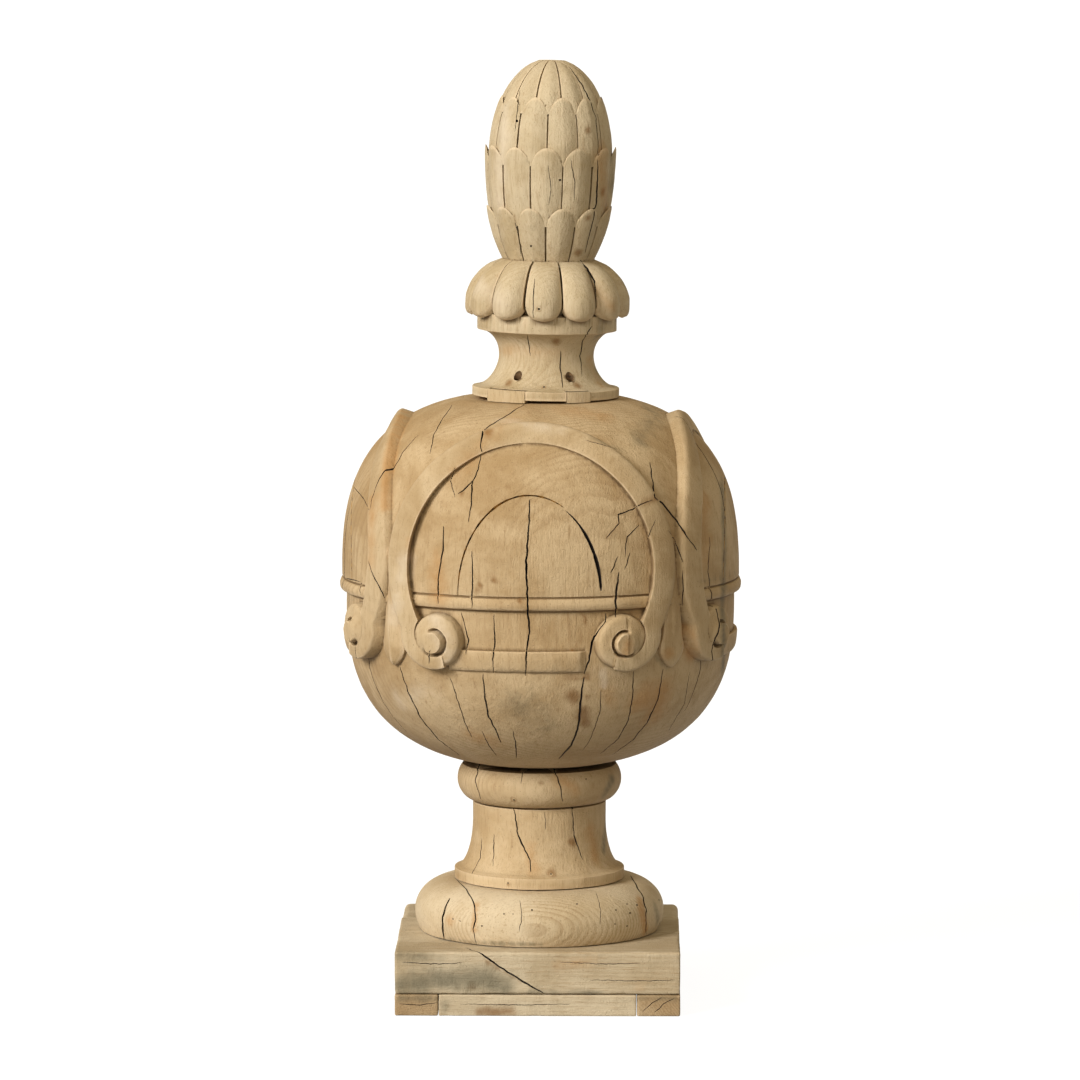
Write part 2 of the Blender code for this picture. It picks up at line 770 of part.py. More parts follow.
def top_carving(parts, cutters, seat):
    """Stands on the ball's seat, leaning. Its lowest point of rim keeps the touch gap."""
    lean = math.radians(TOP_LEAN)
    foot = seat + TOUCH_GAP + RIM_RADIUS * math.sin(abs(lean))
    place = Matrix.Translation((BODY_SHIFT + TOP_SHIFT, 0, foot)) @ Matrix.Rotation(lean, 4, "Y")
    neck, fillet = neck_rows()
    petals, cone_bottom = petal_rows(fillet)
    obj = loft("top_carving", neck + petals + cone_rows(cone_bottom), parts)
    obj.matrix_world = place
    obj.data.materials.append(wood("pale_oak"))
    patches = {
        "rim_patch_left": LEFT_PATCH,
        "rim_patch_right": RIGHT_PATCH,
        "rim_wedge": WEDGE_PATCH,
    }
    for name, angles in patches.items():
        patch = rim_patch(name, angles, place, seat + TOUCH_GAP, parts)
        patch.data.materials.append(wood("grey_pine"))
        boolean(obj, as_cutter(rim_cutter(name + "_cutter", angles, place, cutters)), "DIFFERENCE")
    for angle in POCKET_ANGLES:
        boolean(obj, as_cutter(screw_pocket(angle, place, cutters)), "DIFFERENCE")
    return smooth(obj)


def rim_patch(name, angles, place, floor, parts):
    """A piece let into the rim. Its top is level with the rim's, and its foot is on the seat."""
    inner = RIM_RADIUS - PATCH_DEPTH
    top = RIM_HEIGHT - TOUCH_GAP
    rings = []
    for share in shares(5):
        degrees = angles[0] + share * (angles[1] - angles[0])
        upper = [place @ around(radius, degrees, top) for radius in (inner, RIM_RADIUS)]
        lower = [Vector((point.x, point.y, floor)) for point in reversed(upper)]
        rings.append(upper + lower)
    return loft(name, rings, parts)


def rim_cutter(name, angles, place, cutters):
    """What is cut from the rim for a patch: the patch, larger by the touch gap."""
    inner = RIM_RADIUS - PATCH_DEPTH - TOUCH_GAP
    outer = RIM_RADIUS + PATCH_DEPTH
    spare = math.degrees(TOUCH_GAP / inner)
    first, last = angles[0] - spare, angles[1] + spare
    rings = []
    for share in shares(5):
        degrees = first + share * (last - first)
        section = ((inner, RIM_HEIGHT), (outer, RIM_HEIGHT), (outer, -RIM_HEIGHT))
        rings.append(
            [around(radius, degrees, height) for radius, height in (*section, (inner, -RIM_HEIGHT))]
        )
    obj = loft(name, rings, cutters)
    obj.matrix_world = place
    return obj


def screw_pocket(degrees, place, cutters):
    """A round pocket that slopes down into the foot of the neck."""
    bm = bmesh.new()
    bmesh.ops.create_cone(
        bm,
        cap_ends=True,
        segments=12,
        radius1=POCKET_RADIUS,
        radius2=POCKET_RADIUS,
        depth=POCKET_CUT,
    )
    obj = add_object("screw_pocket", bm, cutters)
    middle = around(NECK_RADIUS + POCKET_DEPTH, degrees, RIM_HEIGHT + POCKET_RISE)
    turn = Matrix.Rotation(math.radians(degrees), 4, "Z")
    slope = Matrix.Rotation(math.radians(POCKET_SLOPE), 4, "X")
    obj.matrix_world = place @ Matrix.Translation(middle) @ turn @ slope
    return obj


def main():
    parts, cutters = cleared_scene()
    top = plinth(parts)
    top = foot_ring(parts, top + TOUCH_GAP)
    top = stem(parts, top + TOUCH_GAP)
    top = collar_ring(parts, top + TOUCH_GAP)
    seat = body(parts, cutters, top + TOUCH_GAP)
    top_carving(parts, cutters, seat)


main()
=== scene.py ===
import math
import random

import bmesh
import bpy
from mathutils import Matrix, Vector, noise
from mathutils.bvhtree import BVHTree


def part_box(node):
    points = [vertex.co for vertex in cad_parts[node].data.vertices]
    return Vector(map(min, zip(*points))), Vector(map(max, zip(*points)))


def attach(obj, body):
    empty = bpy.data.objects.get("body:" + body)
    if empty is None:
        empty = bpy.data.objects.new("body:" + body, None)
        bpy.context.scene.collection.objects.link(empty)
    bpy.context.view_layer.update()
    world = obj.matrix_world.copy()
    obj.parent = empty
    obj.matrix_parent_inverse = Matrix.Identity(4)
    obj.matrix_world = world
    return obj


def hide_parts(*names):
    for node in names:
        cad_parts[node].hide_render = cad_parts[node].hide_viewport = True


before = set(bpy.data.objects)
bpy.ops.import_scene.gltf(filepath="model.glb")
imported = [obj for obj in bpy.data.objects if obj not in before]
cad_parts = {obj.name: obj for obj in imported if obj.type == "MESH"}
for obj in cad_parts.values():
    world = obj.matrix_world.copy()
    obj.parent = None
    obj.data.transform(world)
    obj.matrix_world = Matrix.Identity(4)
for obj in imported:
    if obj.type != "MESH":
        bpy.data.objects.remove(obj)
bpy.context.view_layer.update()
mm = 0.001
chance = random.Random(7)

# The camera, where the photograph was taken from

camera = {
    "place": (0.1012, -7.1943, 1.358),
    "tilt": 83.6,
    "turn": 0.8,
    "lens": 200.0,
    "sensor": 36.0,
    "side": 1080,  # the photograph's side in pixels
}


def addCamera():
    data = bpy.data.cameras.new("camera")
    data.lens = camera["lens"]
    data.sensor_width = camera["sensor"]
    data.clip_end = 400
    obj = bpy.data.objects.new("camera", data)
    bpy.context.scene.collection.objects.link(obj)
    obj.location = camera["place"]
    obj.rotation_euler = (math.radians(camera["tilt"]), 0, math.radians(camera["turn"]))
    bpy.context.scene.camera = obj


def sightLine(px, py):  # from the camera through a pixel of the photograph
    far = camera["lens"] / camera["sensor"] * camera["side"]
    middle = camera["side"] / 2
    turn = Matrix.Rotation(math.radians(camera["turn"]), 3, "Z")
    turn = turn @ Matrix.Rotation(math.radians(camera["tilt"]), 3, "X")
    ray = turn @ Vector(((px - middle) / far, (middle - py) / far, -1))
    return Vector(camera["place"]), ray.normalized()


# Curves and meshes


def quarter(share, fullness=2.0):  # a superellipse's quarter: 1 at share 0, 0 at share 1
    return max(0.0, 1 - min(1.0, max(0.0, share)) ** fullness) ** (1 / fullness)


def shares(count):
    return [i / (count - 1) for i in range(count)]


def mix(a, b, share):
    return a + (b - a) * share


def ease(low, high, value):
    share = min(1.0, max(0.0, (value - low) / (high - low)))
    return share * share * (3 - 2 * share)


def around(radius, degrees, height):  # 0 is the front, positive towards +X
    angle = math.radians(degrees)
    return Vector((radius * math.sin(angle), -radius * math.cos(angle), height))


def makePiece(name, points, faces, place=None):
    mesh = bpy.data.meshes.new(name)
    mesh.from_pydata([place @ p for p in points] if place else points, [], faces)
    work = bmesh.new()
    work.from_mesh(mesh)
    bmesh.ops.recalc_face_normals(work, faces=work.faces)
    work.to_mesh(mesh)
    work.free()
    obj = bpy.data.objects.new(name, mesh)
    bpy.context.scene.collection.objects.link(obj)
    return obj


def rowFaces(rows, start=0):
    count = len(rows[0])
    faces = []
    for r in range(len(rows) - 1):
        for i in range(count):
            a, b = start + r * count + i, start + r * count + (i + 1) % count
            faces.append((a, b, b + count, a + count))
    last = start + (len(rows) - 1) * count
    faces.append(tuple(range(start, start + count)))
    faces.append(tuple(range(last + count - 1, last - 1, -1)))
    return faces


def skin(name, stacks, place=None):  # closed skins, each through rows of as many points
    points, faces = [], []
    for rows in stacks:
        faces += rowFaces(rows, len(points))
        points += [p for row in rows for p in row]
    return makePiece(name, points, faces, place)


def poled(name, rows, top, bottom, place=None):  # a turned skin with a point at each end
    count = len(rows[0])
    points = [p for row in rows for p in row] + [top, bottom]
    faces = rowFaces(rows)[:-2]
    last = (len(rows) - 1) * count
    for i in range(count):
        j = (i + 1) % count
        faces.append((i, j, len(points) - 2))
        faces.append((last + i, last + j, len(points) - 1))
    return makePiece(name, points, faces, place)


def settle(obj):  # the evaluated mesh takes the place of mesh and modifiers
    graph = bpy.context.evaluated_depsgraph_get()
    made = bpy.data.meshes.new_from_object(obj.evaluated_get(graph))
    obj.modifiers.clear()
    obj.data = made
    return obj


def carve(obj, tool, operation):
    before = len(obj.data.polygons)
    step = obj.modifiers.new("carve", "BOOLEAN")
    step.operation = operation
    step.solver = "MANIFOLD"
    step.material_mode = "TRANSFER"
    step.object = tool
    settle(obj)
    bpy.data.objects.remove(tool, do_unlink=True)
    print("carve", obj.name, operation, before, len(obj.data.polygons), flush=True)
    return obj


def roughen(obj, grades, seed):  # hand-worked unevenness, inwards only
    mesh = obj.data
    spot = Vector((seed * 3.7, seed * 1.3, seed * 2.1))
    held = [(v.co.copy(), v.normal.copy()) for v in mesh.vertices]
    moved = []
    for place, normal in held:
        sink = 0.0
        for size, depth in grades:
            sink += depth * (0.5 + 0.5 * noise.noise(place / size + spot))
        moved.extend(place - normal * sink)
    mesh.vertices.foreach_set("co", moved)
    mesh.update()


def markWearAndHollowShade(obj):  # worn edges above 0, hollows below 0; the woods lighten worn edges and darken hollows as painted shade
    mesh = obj.data
    total = [0.0] * len(mesh.vertices)
    count = [0] * len(mesh.vertices)
    places = [v.co.copy() for v in mesh.vertices]
    normals = [v.normal.copy() for v in mesh.vertices]
    ends = [tuple(e.vertices) for e in mesh.edges]
    for a, b in ends:
        step = places[b] - places[a]
        long = step.length or 1.0
        total[a] -= step.dot(normals[a]) / long
        total[b] += step.dot(normals[b]) / long
        count[a] += 1
        count[b] += 1
    value = [t / max(1, c) for t, c in zip(total, count)]
    calm = [v * 2 for v in value]
    weight = [2] * len(value)
    for a, b in ends:
        calm[a] += value[b]
        calm[b] += value[a]
        weight[a] += 1
        weight[b] += 1
    field = mesh.attributes.new("wearAndHollowShade", "FLOAT", "POINT")
    field.data.foreach_set("value", [3 * c / w for c, w in zip(calm, weight)])


def treeOf(obj):
    graph = bpy.context.evaluated_depsgraph_get()
    return BVHTree.FromObject(obj, graph)


def sightPoints(tree, path, step=2.2, shake=0.35):
    points = []
    for (x0, y0), (x1, y1) in zip(path, path[1:]):
        count = max(1, round(math.hypot(x1 - x0, y1 - y0) / step))
        for i in range(count):
            points.append((mix(x0, x1, i / count), mix(y0, y1, i / count)))
    points.append(path[-1])
    found = []
    for x, y in points:
        wander = noise.noise_vector(Vector((x * 0.21, y * 0.21, 3.3))) * shake * 2
        origin, ray = sightLine(x + wander.x, y + wander.y)
        hit, normal, _, _ = tree.ray_cast(origin, ray)
        if hit is not None:
            found.append((hit, normal))
    return found


def blade(found, width, depth, tail=0.3):  # rows of a wedge along points on a surface
    count = len(found)
    rows = []
    for i, (point, _) in enumerate(found):
        near = found[max(0, i - 3) : i + 4]
        out = sum((n for _, n in near), Vector()).normalized()
        along = found[min(count - 1, i + 1)][0] - found[max(0, i - 1)][0]
        along -= out * along.dot(out)
        side = out.cross(along).normalized()
        share = i / max(1, count - 1)
        swell = tail + (1 - tail) * math.sin(math.pi * min(1.0, max(0.0, share))) ** 0.5
        swell *= 1 + 0.35 * noise.noise(point * 90)
        half = width / 2 * swell
        top = point + out * 2.5 * mm
        flare = 1 + 2.5 * mm / (depth * swell)
        rows.append([top + side * half * flare, top - side * half * flare, point - out * depth * swell])
    return rows


def cutCracks(obj, tree, cracks, material, label="crack"):  # in passes whose cuts don't cross
    touching = 9 * mm
    passes = []
    for path, width, depth in cracks:
        found = path if isinstance(path[0][0], Vector) else sightPoints(tree, path)
        if len(found) < 4:
            continue
        spots = [p for p, _ in found][::2]
        for held in passes:
            if all((a - b).length > touching for a in spots for b in held[0]):
                break
        else:
            held = ([], [])
            passes.append(held)
        held[0].extend(spots)
        held[1].append(blade(found, width * mm, depth * mm))
    for _, stacks in passes:
        tool = skin(label, stacks)
        tool.data.materials.append(material)
        carve(obj, tool, "DIFFERENCE")


def paint(obj, name, marks):  # a float field: strength on a mark's path, 0 at its reach
    mesh = obj.data
    tree = treeOf(obj)
    values = [0.0] * len(mesh.vertices)
    places = [v.co.copy() for v in mesh.vertices]
    for path, reach, strength in marks:
        reach *= mm
        spots = [p for p, _ in sightPoints(tree, path if len(path) > 1 else path * 2, 5, 0)]
        if not spots:
            continue
        middle = sum(spots, Vector()) / len(spots)
        wide = max((s - middle).length for s in spots) + reach
        for i, place in enumerate(places):
            if (place - middle).length < wide:
                near = min((place - s).length for s in spots)
                if near < reach:
                    values[i] = max(values[i], strength * (1 - near / reach))
    field = mesh.attributes.new(name, "FLOAT", "POINT")
    field.data.foreach_set("value", values)


def finishPiece(obj, node, sharp=32):  # kept inside its solid's box, shaded, handed over
    low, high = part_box(node)
    places = [v.co.copy() for v in obj.data.vertices]
    kept = [min(max(c, a), b) for place in places for c, a, b in zip(place, low, high)]
    obj.data.vertices.foreach_set("co", kept)
    obj.data.update()
    obj.data.shade_smooth()
    obj.data.set_sharp_from_angle(angle=math.radians(sharp))
    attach(obj, "root")
    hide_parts(node)
    triangles = sum(len(p.vertices) - 2 for p in obj.data.polygons)
    print("made", obj.name, triangles, "triangles", flush=True)


# Woods


def addNode(tree, kind, inputs=None, **settings):
    made = tree.nodes.new(kind)
    for key, value in settings.items():
        setattr(made, key, value)
    for key, value in (inputs or {}).items():
        socket = made.inputs[key]
        if isinstance(value, bpy.types.NodeSocket):
            tree.links.new(value, socket)
        else:
            socket.default_value = value
    return made


def maths(tree, operation, a, b=0.0, c=0.0):
    return addNode(tree, "ShaderNodeMath", {0: a, 1: b, 2: c}, operation=operation).outputs[0]


def grade(tree, value, low, high, to=(0.0, 1.0)):  # a smooth step
    made = addNode(
        tree,
        "ShaderNodeMapRange",
        {"Value": value, "From Min": low, "From Max": high, "To Min": to[0], "To Max": to[1]},
        interpolation_type="SMOOTHSTEP",
    )
    return made.outputs[0]


def blend(tree, share, under, over):  # the colour sockets of a Mix node are 6 and 7
    sockets = {0: share, 6: under, 7: over}
    return addNode(tree, "ShaderNodeMix", sockets, data_type="RGBA").outputs[2]


def noisy(tree, coords, scale, detail=4.0, rough=0.6, warp=0.0):
    made = addNode(
        tree,
        "ShaderNodeTexNoise",
        {"Vector": coords, "Scale": scale, "Detail": detail, "Roughness": rough, "Distortion": warp},
    )
    return made.outputs["Fac"]


def placed(tree, coords, scale=(1, 1, 1), turn=(0, 0, 0), shift=(0, 0, 0)):
    sockets = {"Vector": coords, "Scale": scale, "Rotation": turn, "Location": shift}
    return addNode(tree, "ShaderNodeMapping", sockets).outputs[0]


def field(tree, name):
    return addNode(tree, "ShaderNodeAttribute", attribute_name=name).outputs["Fac"]


oakLook = {
    "pale": (0.66, 0.50, 0.315, 1),
    "tan": (0.50, 0.345, 0.19, 1),
    "streak": (0.30, 0.185, 0.085, 1),
    "grain": (1, 1, 0.07),  # how far the fibres stretch: along Z here
    "ringAxis": (1, 1, 0),
    "pith": (0.06, -0.13, 0),
    "ringSpacing": 5.5 * mm,
    "rings": 0.35,
    "cloud": 9,
    "fibres": 0.55,
    "tooling": 0.6,
    "relief": 1.5 * mm,
    "rough": 0.82,
}


markTints = {  # colour, and how strong it is at most
    "stain": ((0.22, 0.105, 0.028, 1), 0.8),
    "orange": ((0.46, 0.235, 0.075, 1), 0.62),
    # grime: real grime and moss, and painted shade where it is laid on sides turned from the light and under
    # overhangs
    "grimeAndShade": ((0.105, 0.10, 0.065, 1), 0.72),
    # bleach: pale bleached wood, and painted light where it is laid on the sides facing the light
    "bleachAndLight": ((0.72, 0.62, 0.49, 1), 0.7),
}


def wood(name, **changes):
    look = {**oakLook, **changes}
    material = bpy.data.materials.new(name)
    material.use_nodes = True
    tree = material.node_tree
    shader = tree.nodes["Principled BSDF"]
    coords = addNode(tree, "ShaderNodeTexCoord").outputs["Object"]
    grain = placed(tree, coords, look["grain"])
    cloud = noisy(tree, coords, look["cloud"], 5, 0.62, 0.5)
    blotch = noisy(tree, coords, look["cloud"] * 4.5, 4, 0.6, 0.3)
    streak = noisy(tree, grain, 230, 5, 0.66, 0.2)
    fibre = noisy(tree, grain, 900, 3, 0.6)
    slant = placed(tree, coords, (1, 1, 0.22), (0.5, 0.35, 0.4))
    stroke = noisy(tree, slant, 420, 3, 0.6)
    speck = noisy(tree, coords, 520, 2, 0.5)

    # growth rings: how far a point is from the pith, in rings
    pith = placed(tree, coords, look["ringAxis"], shift=look["pith"])
    reach = addNode(tree, "ShaderNodeVectorMath", {0: pith}, operation="LENGTH").outputs["Value"]
    wobble = maths(tree, "MULTIPLY", noisy(tree, grain, 14, 3, 0.5), 22 * mm)
    ring = maths(tree, "DIVIDE", maths(tree, "ADD", reach, wobble), look["ringSpacing"])
    saw = maths(tree, "FRACT", ring)
    line = maths(tree, "MULTIPLY", grade(tree, saw, 0.35, 0.9), grade(tree, saw, 0.999, 0.93))
    patch = grade(tree, noisy(tree, coords, 7, 2, 0.5), 0.42, 0.62)
    rings = maths(tree, "MULTIPLY", maths(tree, "MULTIPLY", line, patch), look["rings"])

    colour = blend(tree, grade(tree, cloud, 0.36, 0.66), look["pale"], look["tan"])
    colour = blend(tree, grade(tree, blotch, 0.5, 0.8, (0, 0.35)), colour, look["tan"])
    streaks = grade(tree, streak, 0.52, 0.78, (0, 1.35 * look["fibres"]))
    colour = blend(tree, streaks, colour, look["streak"])
    colour = blend(tree, rings, colour, look["streak"])
    colour = blend(tree, grade(tree, fibre, 0.54, 0.72, (0, 0.5)), colour, look["streak"])
    colour = blend(tree, grade(tree, speck, 0.68, 0.74, (0, 0.55)), colour, (0.12, 0.07, 0.03, 1))

    # worn edges lighter, hollows darker as painted shade, then the marks: stains, orange patches, grime and moss that
    # also carry painted shade, and bleach that also carries painted light
    wearAndHollowShade = field(tree, "wearAndHollowShade")
    colour = blend(tree, grade(tree, wearAndHollowShade, 0.10, 0.6, (0, 0.5)), colour, (0.80, 0.64, 0.44, 1))
    # painted shade: hollows darkened, where shade falls in their creases
    colour = blend(tree, grade(tree, wearAndHollowShade, -0.06, -0.55, (0, 0.85)), colour, (0.16, 0.10, 0.045, 1))
    ragged = maths(tree, "MULTIPLY_ADD", blotch, 0.9, -0.45)
    for markName, (tint, strength) in markTints.items():
        mark = field(tree, markName)
        edge = maths(tree, "ADD", mark, maths(tree, "MULTIPLY", ragged, grade(tree, mark, 0.0, 0.2)))
        share = grade(tree, edge, 0.04, 0.85, (0, strength))
        colour = blend(tree, share, colour, tint)
    tree.links.new(colour, shader.inputs["Base Color"])
    shader.inputs["Roughness"].default_value = look["rough"]
    shader.inputs["Specular IOR Level"].default_value = 0.25

    height = maths(tree, "MULTIPLY", streak, 0.5)
    height = maths(tree, "MULTIPLY_ADD", fibre, 0.25, height)
    tools = maths(tree, "MULTIPLY", stroke, grade(tree, blotch, 0.35, 0.65))
    height = maths(tree, "MULTIPLY_ADD", tools, look["tooling"], height)
    height = maths(tree, "MULTIPLY_ADD", speck, -0.3, height)
    height = maths(tree, "MULTIPLY_ADD", line, -0.12 * look["rings"], height)
    bump = addNode(tree, "ShaderNodeBump", {"Height": height, "Distance": look["relief"]})
    bump.inputs["Strength"].default_value = 1.0
    tree.links.new(bump.outputs[0], shader.inputs["Normal"])
    return material


def plainWood(name, colour, rough, scale=300, other=None):  # crack walls darkened with painted shade, and old glue
    material = bpy.data.materials.new(name)
    material.use_nodes = True
    tree = material.node_tree
    shader = tree.nodes["Principled BSDF"]
    coords = addNode(tree, "ShaderNodeTexCoord").outputs["Object"]
    second = other or tuple(c * 0.45 for c in colour[:3]) + (1,)
    share = grade(tree, noisy(tree, coords, scale, 4), 0.4, 0.62)
    tree.links.new(blend(tree, share, colour, second), shader.inputs["Base Color"])
    shader.inputs["Roughness"].default_value = rough
    bump = addNode(tree, "ShaderNodeBump", {"Height": share, "Distance": 0.3 * mm})
    tree.links.new(bump.outputs[0], shader.inputs["Normal"])
    return material


ballOak = wood("ballOak", pale=(0.57, 0.43, 0.26, 1), tan=(0.40, 0.27, 0.135, 1))
strapOak = wood(
    "strapOak",
    pale=(0.57, 0.44, 0.275, 1),
    tan=(0.43, 0.305, 0.165, 1),
    rings=0.12,
    fibres=0.35,
    tooling=0.4,
)
paleOak = wood(
    "paleOak", pale=(0.60, 0.50, 0.345, 1), tan=(0.48, 0.375, 0.225, 1), rings=0.2, fibres=0.4
)
turnedOak = wood(
    "turnedOak", pale=(0.59, 0.455, 0.285, 1), tan=(0.46, 0.325, 0.175, 1), rings=0.25, fibres=0.4
)
footOak = wood(
    "footOak",
    pale=(0.66, 0.55, 0.39, 1),
    tan=(0.55, 0.43, 0.27, 1),
    ringAxis=(0.25, 1, 0.35),
    pith=(0, 0.6, 0.02),
    ringSpacing=4 * mm,
    rings=0.4,
    fibres=0.2,
    grain=(0.3, 1, 0.3),
)
boardPine = wood(
    "boardPine",
    pale=(0.60, 0.51, 0.37, 1),
    tan=(0.45, 0.36, 0.235, 1),
    grain=(0.06, 1, 1),
    ringAxis=(0, 1, 1),
    pith=(0, 0.4, 0.35),
    rings=0.2,
    fibres=0.35,
)
cleatEnd = wood(
    "cleatEnd",
    pale=(0.48, 0.36, 0.22, 1),
    tan=(0.36, 0.245, 0.13, 1),
    grain=(1, 0.06, 1),
    ringAxis=(1, 0, 1),
    pith=(0.12, 0, 0.16),
    ringSpacing=3 * mm,
    rings=0.6,
)
patchPine = wood(
    "patchPine", pale=(0.64, 0.53, 0.37, 1), tan=(0.52, 0.40, 0.24, 1), fibres=0.6, rings=0.1
)
# near-black walls for cracks, worm holes and the lunette's gap: dark dirt, with painted shade darkening them further
crackDirtAndShade = plainWood("crackDirtAndShade", (0.030, 0.016, 0.008, 1), 0.95)
oldGlue = plainWood("oldGlue", (0.42, 0.23, 0.05, 1), 0.6, 120, (0.07, 0.035, 0.01, 1))
print("woods ready", flush=True)

# The ball: bowl, sill and dome, with straps, volutes, leaves and bars

ball = {
    "shift": 1.4,
    "bowlRadius": 234.5,
    "bowlHeight": 201,
    "bowlFullness": 2.6,
    "footRadius": 57,
    "straight": 13,
    "sillRadius": 242.5,
    "sillHeight": 16,
    "groove": 2.5,
    "domeRadius": 240,
    "domeHeight": 226,
    "domeFullness": 2.8,
    "seatRadius": 100,
    "turns": (-2.6, 86.5, 178, 269.5),
    "root": 9,
}
bowlCentre = ball["bowlHeight"] * quarter(ball["footRadius"] / ball["bowlRadius"], ball["bowlFullness"])
sillBottom = bowlCentre + ball["straight"]
sillTop = sillBottom + ball["sillHeight"]
domeCentre = sillTop - ball["sillHeight"] / 4
seatShare = quarter(ball["seatRadius"] / ball["domeRadius"], ball["domeFullness"])
seatHeight = domeCentre + ball["domeHeight"] * seatShare
ballPlace = Matrix.Translation((ball["shift"] * mm, 0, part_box("body")[0][2])) @ Matrix.Scale(mm, 4)


def domeShare(height):
    return min(1.0, max(0.0, (height - bowlCentre) / (domeCentre - bowlCentre)))


def capPoint(across, height, proud):  # a point in front of the ball, and the way out of it
    widest = mix(ball["bowlRadius"], ball["domeRadius"], domeShare(height)) + proud
    if height >= domeCentre:
        tall, power, rise = ball["domeHeight"] + proud, ball["domeFullness"], height - domeCentre
    else:
        tall, power = ball["bowlHeight"] + proud, ball["bowlFullness"]
        rise = min(0.0, height - bowlCentre)
    share = abs(rise) / tall
    radius = widest * quarter(share, power)
    depth = math.sqrt(max(radius**2 - across**2, 0.0))
    outward = (radius / widest) ** (power - 1) / widest
    upward = math.copysign(share ** (power - 1) / tall, rise)
    normal = Vector((outward * across / radius, -outward * depth / radius, upward))
    return Vector((across, -depth, height)), normal.normalized()


def ballProfile():
    points = [(0.04, seatHeight), (40, seatHeight), (80, seatHeight), (96, seatHeight)]
    topAngle = math.asin(seatShare)
    start = math.asin((sillTop + ball["groove"] - domeCentre) / ball["domeHeight"])
    for share in shares(50):
        rise = math.sin(mix(topAngle, start, share))
        radius = ball["domeRadius"] * quarter(rise, ball["domeFullness"])
        points.append((radius, domeCentre + rise * ball["domeHeight"]))
    sill, dome, bowl = ball["sillRadius"], ball["domeRadius"], ball["bowlRadius"]
    points += [
        (dome - 0.4, sillTop + 1.2),
        (dome - 1.9, sillTop + 0.4),
        (dome - 1.9, sillTop - 0.5),
        (dome + 0.2, sillTop - 1.4),
        (sill - 1.2, sillTop - 3.5),
        (sill, sillTop - 7),
        (sill, sillBottom + 6),
        (sill - 0.5, sillBottom + 3),
        (sill - 1.8, sillBottom + 1.2),
        (sill - 4.2, sillBottom + 0.2),
        (bowl - 0.3, sillBottom - 0.4),
        (bowl, sillBottom - 3),
        (bowl, mix(sillBottom, bowlCentre, 0.6)),
    ]
    for share in shares(52):
        radius = bowl - share**2 * (bowl - ball["footRadius"])
        points.append((radius, bowlCentre - ball["bowlHeight"] * quarter(radius / bowl, ball["bowlFullness"])))
    points += [(44, 0), (20, 0)]
    return points


def columnAngles(fine, coarse):  # closer together at the front
    angles = [-80 + i * fine for i in range(int(160 / fine))]
    left = 360 - 160
    return angles + [80 + i * left / int(left / coarse) for i in range(int(left / coarse))]


def turnedRows(profile, angles):
    return [[around(radius, a, height) for a in angles] for radius, height in profile]


def turnAbout(rows, degrees):
    at = Matrix.Rotation(math.radians(degrees), 4, "Z")
    return [[at @ p for p in row] for row in rows]


strap = {
    "outer": 170,
    "inner": 145,
    "rise": 31,
    "end": -25,
    "proud": 10.5,
    "lowerProud": 16,
    "crestProud": 1,
    "crestSink": 9.5,
    "voluteOut": 106,
    "voluteDrop": 53,
    "voluteRadius": 32,
    "section": (  # share of the width from the outer edge, and how far it drops
        (0.0, 3.2),
        (0.015, 1.7),
        (0.06, 0.7),
        (0.14, 0.15),
        (0.36, 0.0),
        (0.62, 0.0),
        (0.87, 0.1),
        (0.95, 0.45),
        (0.99, 1.1),
        (1.0, 2.2),
    ),
}


def strapEdge(radius, degrees, crestProud):
    angle = math.radians(degrees)
    height = sillTop + strap["rise"] + radius * math.sin(angle)
    proud = mix(strap["lowerProud"], strap["proud"], domeShare(height))
    crest = max(0.0, math.sin(angle)) ** 3
    return (radius * math.cos(angle), height, proud + crest * crestProud)


def strapStations():
    ring = []
    for share in shares(120):
        degrees = mix(strap["end"], 180 - strap["end"], share)
        outer = strapEdge(strap["outer"], degrees, strap["crestProud"])
        inner = strapEdge(strap["inner"], degrees, -strap["crestSink"])
        ring.append((outer, inner))
    volute = Vector((strap["voluteOut"], sillTop - strap["voluteDrop"]))
    ends = (strap["voluteRadius"] + 1, strap["voluteRadius"] / 2)
    curl = []
    for step in range(1, 15):
        pair = []
        for (across, height, _), end in zip(ring[0], ends):
            arm = Vector((across, height)) - volute
            angle = math.atan2(arm.y, arm.x)
            at = mix(angle, -math.pi / 2 - 0.2, step / 14)
            long = mix(arm.length, end, step / 14)
            pair.append((volute.x + long * math.cos(at), volute.y + long * math.sin(at), strap["lowerProud"]))
        curl.append(tuple(pair))
    left = [tuple((-x, z, p) for x, z, p in pair) for pair in reversed(curl)]
    return left + list(reversed(ring)) + curl


def strapRows(turn):
    rows = []
    for i, (outer, inner) in enumerate(strapStations()):
        row = []
        for number, (share, drop) in enumerate(strap["section"]):
            lively = noise.noise(Vector((i * 0.13, turn, number * 0.2)))
            drop = drop * (1 + 0.5 * lively) + max(0.0, noise.noise(Vector((i * 0.5, turn, 5))) - 0.35) * 2
            across, height = mix(outer[0], inner[0], share), mix(outer[1], inner[1], share)
            row.append(capPoint(across, height, mix(outer[2], inner[2], share) - drop)[0])
        for across, height, _ in (inner, outer):
            point, normal = capPoint(across, height, 0)
            row.append(point - normal * ball["root"])
        rows.append(row)
    return turnAbout(rows, turn)


volute = {
    "rings": (
        (1.5, 4, 7, 9.6, 11.4, 12.4, 13.1, 13.7, 14.3, 15)
        + (16, 17.6, 20, 23, 25.5, 27.6, 29, 30, 30.9, 31.5)
    ),
    "edge": 24.5,  # where the disc's round edge starts
    "edgeDrop": 7,
    "columns": 90,
    "eye": 21.4,
    "crest": 15.8,
    "rim": 14.0,
    "groove": 8.5,
    "grooveRadius": 14.2,
}


